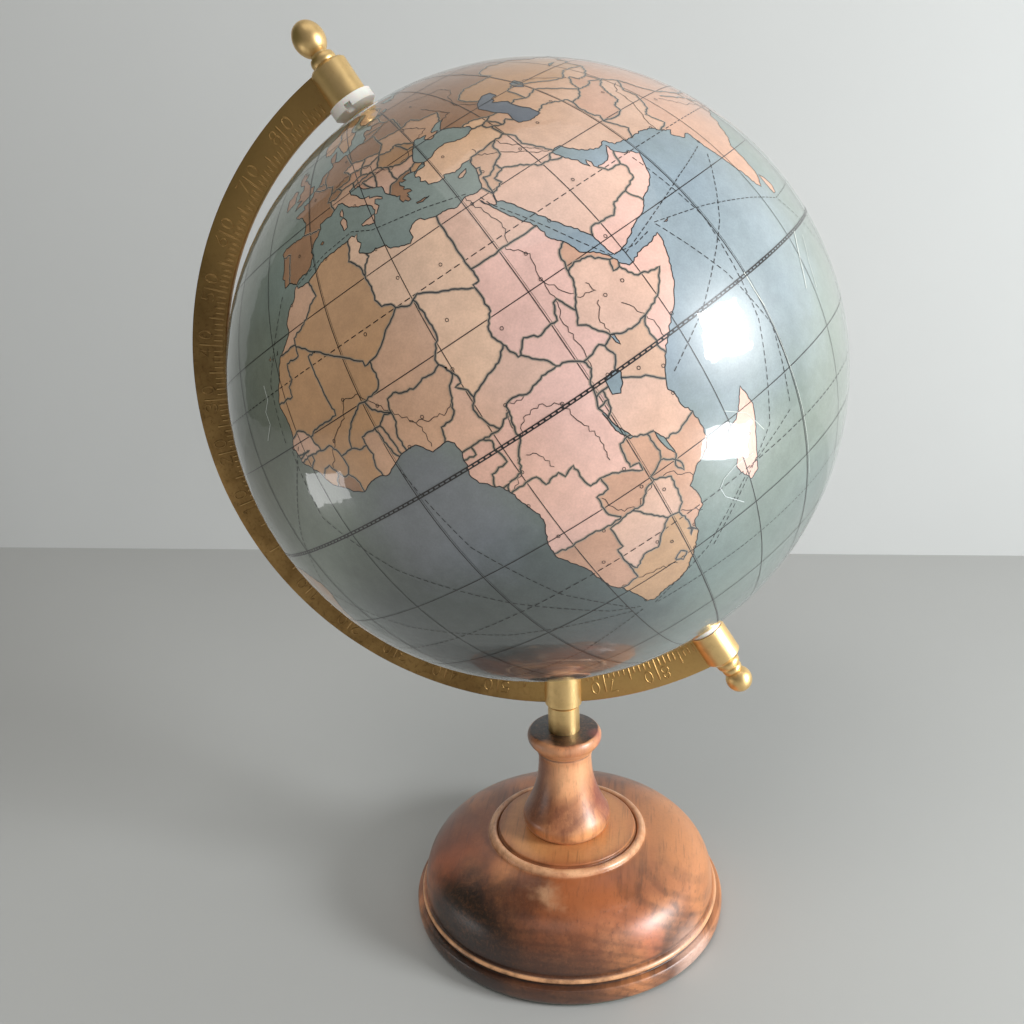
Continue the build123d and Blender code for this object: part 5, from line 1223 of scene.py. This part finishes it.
def printed_line(line, kind, closed=False, own_width=None):
    """A printed line along the map, drawn as a ribbon just proud of the sheet; the painted highlights of the
    film's folds are drawn the same way.
    """
    width, ink, proud = kinds[kind]
    width = own_width or width
    dense = []
    ends = line[1:] + line[:1] if closed else line[1:]
    for start, end in zip(line, ends):
        pieces = max(1, math.ceil(math.dist(start, end) / longest_step))
        dense += [between(start, end, k / pieces) for k in range(pieces)]
    dense.append(line[0] if closed else line[-1])
    dense = [point for point in dense if abs(point[1]) <= map_edge + 0.01]
    if len(dense) < 2:
        return
    path = [on_ball(*point, map_radius + proud) for point in dense]
    start = len(skin_points)
    for k, point in enumerate(path):
        before, after = path[max(k - 1, 0)], path[min(k + 1, len(path) - 1)]
        if closed and k in (0, len(path) - 1):
            before, after = path[-2], path[1]
        outward = (point - ball_centre).normalized()
        aside = (after - before).cross(outward).normalized() * width / 2
        skin_points.extend((point - aside, point + aside))
    for k in range(len(path) - 1):
        a = start + 2 * k
        skin_faces.append((a, a + 1, a + 3, a + 2))
        skin_inks.append(inks[ink])


def dashed(line, kind, dash, gap):
    """A printed line in dashes, whose lengths are in degrees of the map."""
    left, drawing, piece = dash, True, [line[0]]
    for start, end in zip(line, line[1:]):
        run, done = math.dist(start, end), 0.0
        while run - done > nothing:
            move = min(left, run - done)
            done += move
            left -= move
            piece.append(between(start, end, done / run))
            if left < nothing:
                if drawing:
                    printed_line(piece, kind)
                drawing = not drawing
                left, piece = (dash if drawing else gap), [piece[-1]]


def pole_to_pole(longitude):
    return [(longitude, -map_edge), (longitude, map_edge)]


def round_the_ball(latitude):
    return [(-180 + 3 * k, latitude) for k in range(121)]


grid_step, joint_offset = 15, 0.30
for meridian in range(-180, 180, grid_step):
    printed_line(pole_to_pole(meridian), "grid")
    if meridian % (2 * grid_step) == 0:
        # Two printed strips of the map meet beside every other meridian.
        printed_line(pole_to_pole(meridian + joint_offset), "joint")
for parallel in range(-75, 90, grid_step):
    if parallel:
        printed_line(round_the_ball(parallel), "grid")
for tropic in (-66.5, -23.5, 23.5, 66.5):
    dashed(round_the_ball(tropic), "tropic", 1.0, 0.55)
for line in outlines(sea_routes):
    dashed(line, "route", 0.75, 0.4)
for line in outlines(rivers):
    printed_line(roughened(line, 0.3, False), "river")
for kind in ("halo", "border"):
    for line in border_lines:
        printed_line(line, kind)
for ring in land_rings[:-1] + lake_rings:
    printed_line(ring, "coast", closed=True)
printed_line(antarctic, "coast")
# The equator is a ladder: two rails with a rung at each degree.
rail = 0.19
for side in (-rail, rail):
    printed_line(round_the_ball(side), "rail")
for rung in range(-180, 180):
    printed_line([(rung, -rail), (rung, rail)], "rung")
town_size = 0.24
for east, north in outlines(cities)[0]:
    turns = np.linspace(0, 2 * math.pi, 13)[:-1]
    circle = [(east + town_size * math.cos(t), north + town_size * math.sin(t)) for t in turns]
    printed_line(circle, "town", closed=True)
# Painted highlights where the film folds.
for line, width in fold_highlights:
    printed_line(line, "fold_highlight", own_width=width)

# The sea is printed in slowly changing blue, grey and green tones. Some of these tones are painted light,
# shade and reflection, as marked.
sea_tones_and_painted_light = [
    # centre, inner and outer reach, tone
    # Painted light over the Mediterranean, high on the lit front of the ball.
    ((20, 35), 14, 44, srgb(128, 138, 130)),
    # Painted shade over the South Atlantic, low on the ball.
    ((-6, -27), 26, 64, srgb(80, 87, 85)),
    ((1, -3), 8, 32, srgb(116, 121, 128)),
    # A painted reflection of the window, pale blue over the Indian Ocean.
    ((54, 6), 22, 62, srgb(138, 151, 159)),
    # Painted shade west of Africa, on the shaded left of the ball.
    ((-30, 22), 16, 50, srgb(104, 111, 100)),
    ((51, 42), 9, 16, srgb(94, 98, 104)),
]
film_gloss = {"Coat Weight": 1.0, "Coat Roughness": 0.03, "Coat IOR": 1.5}
film, tree, shader, place = finish(
    "filmed_printed_board", {"Roughness": 0.36, "Specular IOR Level": 0.6, **film_gloss}
)
ink = node(tree, "Attribute", attribute_name="ink")
ink_colour, only_land = ink.outputs["Color"], ink.outputs["Alpha"]
only_sea = share(tree, only_land, 0.0, 1.0, 1.0, 0.0)
for (longitude, latitude), inner, outer, tone in sea_tones_and_painted_light:
    mask = spot(tree, place, on_ball(longitude, latitude), inner, outer, 20)
    ink_colour = blended(tree, times(tree, mask, only_sea), ink_colour, tone)
# The land round the north of the old world is made darker and browner.
deeper = times(tree, spot(tree, place, on_ball(48, 60), 24, 58, 14), only_land)
ink_colour = blended(tree, deeper, ink_colour, (0.80, 0.71, 0.55, 1.0), "MULTIPLY")
cloud = noise(tree, place, 34.0, 5.0, 0.6)
mottle = noise(tree, place, 230.0, 5.0, 0.65)
grainy = noise(tree, place, 1900.0, 3.0, 0.7)
shade = share(tree, cloud, 0.30, 0.70, 0.90, 1.06)
shade = times(tree, shade, share(tree, mottle, 0.30, 0.70, 0.93, 1.05))
shade = times(tree, shade, share(tree, grainy, 0.30, 0.70, 0.94, 1.05))
grey = node(tree, "CombineColor", {0: shade, 1: shade, 2: shade})
aged = share(tree, noise(tree, place, 11.0, 2.0), 0.36, 0.64)
aging = blended(tree, aged, (0.94, 0.99, 1.06, 1.0), (1.03, 1.0, 0.93, 1.0))
shaded = blended(tree, 1.0, ink_colour, grey, "MULTIPLY")
join(tree, blended(tree, 1.0, shaded, aging, "MULTIPLY"), shader.inputs["Base Color"])
# The film is slightly wavy over the board, which only its gloss shows.
waves = noise(tree, place, 22.0, 2.0)
ripples = noise(tree, place, 120.0, 2.0)
unevenness = node(tree, "Math", {0: waves, 1: times(tree, ripples, 0.20)}, operation="ADD")
bumped(tree, shader, unevenness, 1.0, 0.0006, "Coat Normal")

map_skin = mesh_piece("printed_map", skin_points, skin_faces, film)
layer = map_skin.data.attributes.new("ink", "FLOAT_COLOR", "FACE")
layer.data.foreach_set("color", np.array(skin_inks, np.float32).ravel())
outward = [(Vector(v.co) - ball_centre * mm).normalized() for v in map_skin.data.vertices]
map_skin.data.normals_split_custom_set_from_vertices(outward)

# The sheet laid out flat for baking, with longitude across and latitude up. Each face keeps together where
# the map's ends meet.
frame_of_ball = [askew @ axis for axis in (across, Vector((0, 1, 0)), polar_axis)]
rays = (np.array(skin_points) - np.array(ball_centre)) @ np.array(frame_of_ball).T
rays /= np.linalg.norm(rays, axis=1)[:, None]
corner_of = np.concatenate([np.array(face) for face in skin_faces])
face_of = np.repeat(np.arange(len(skin_faces)), [len(face) for face in skin_faces])
sums = np.stack([np.bincount(face_of, rays[corner_of, k]) for k in range(3)], axis=1)
middle_turn = (np.degrees(np.arctan2(sums[:, 1], sums[:, 0])) + map_turn + 180) % 360 - 180
own_turn = np.degrees(np.arctan2(rays[corner_of, 1], rays[corner_of, 0])) + map_turn
turns = middle_turn[face_of] + (own_turn - middle_turn[face_of] + 180) % 360 - 180
rises = np.degrees(np.arcsin(rays[corner_of, 2].clip(-1, 1)))
laid_flat = np.stack([(turns + 180) / 360, (rises + 90) / 180], axis=1).clip(0, 1)
map_skin.data.uv_layers.new(name="OFBake").uv.foreach_set("vector", laid_flat.astype(np.float32).ravel())
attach(map_skin, "ball")
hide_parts("northern_shell", "southern_shell")
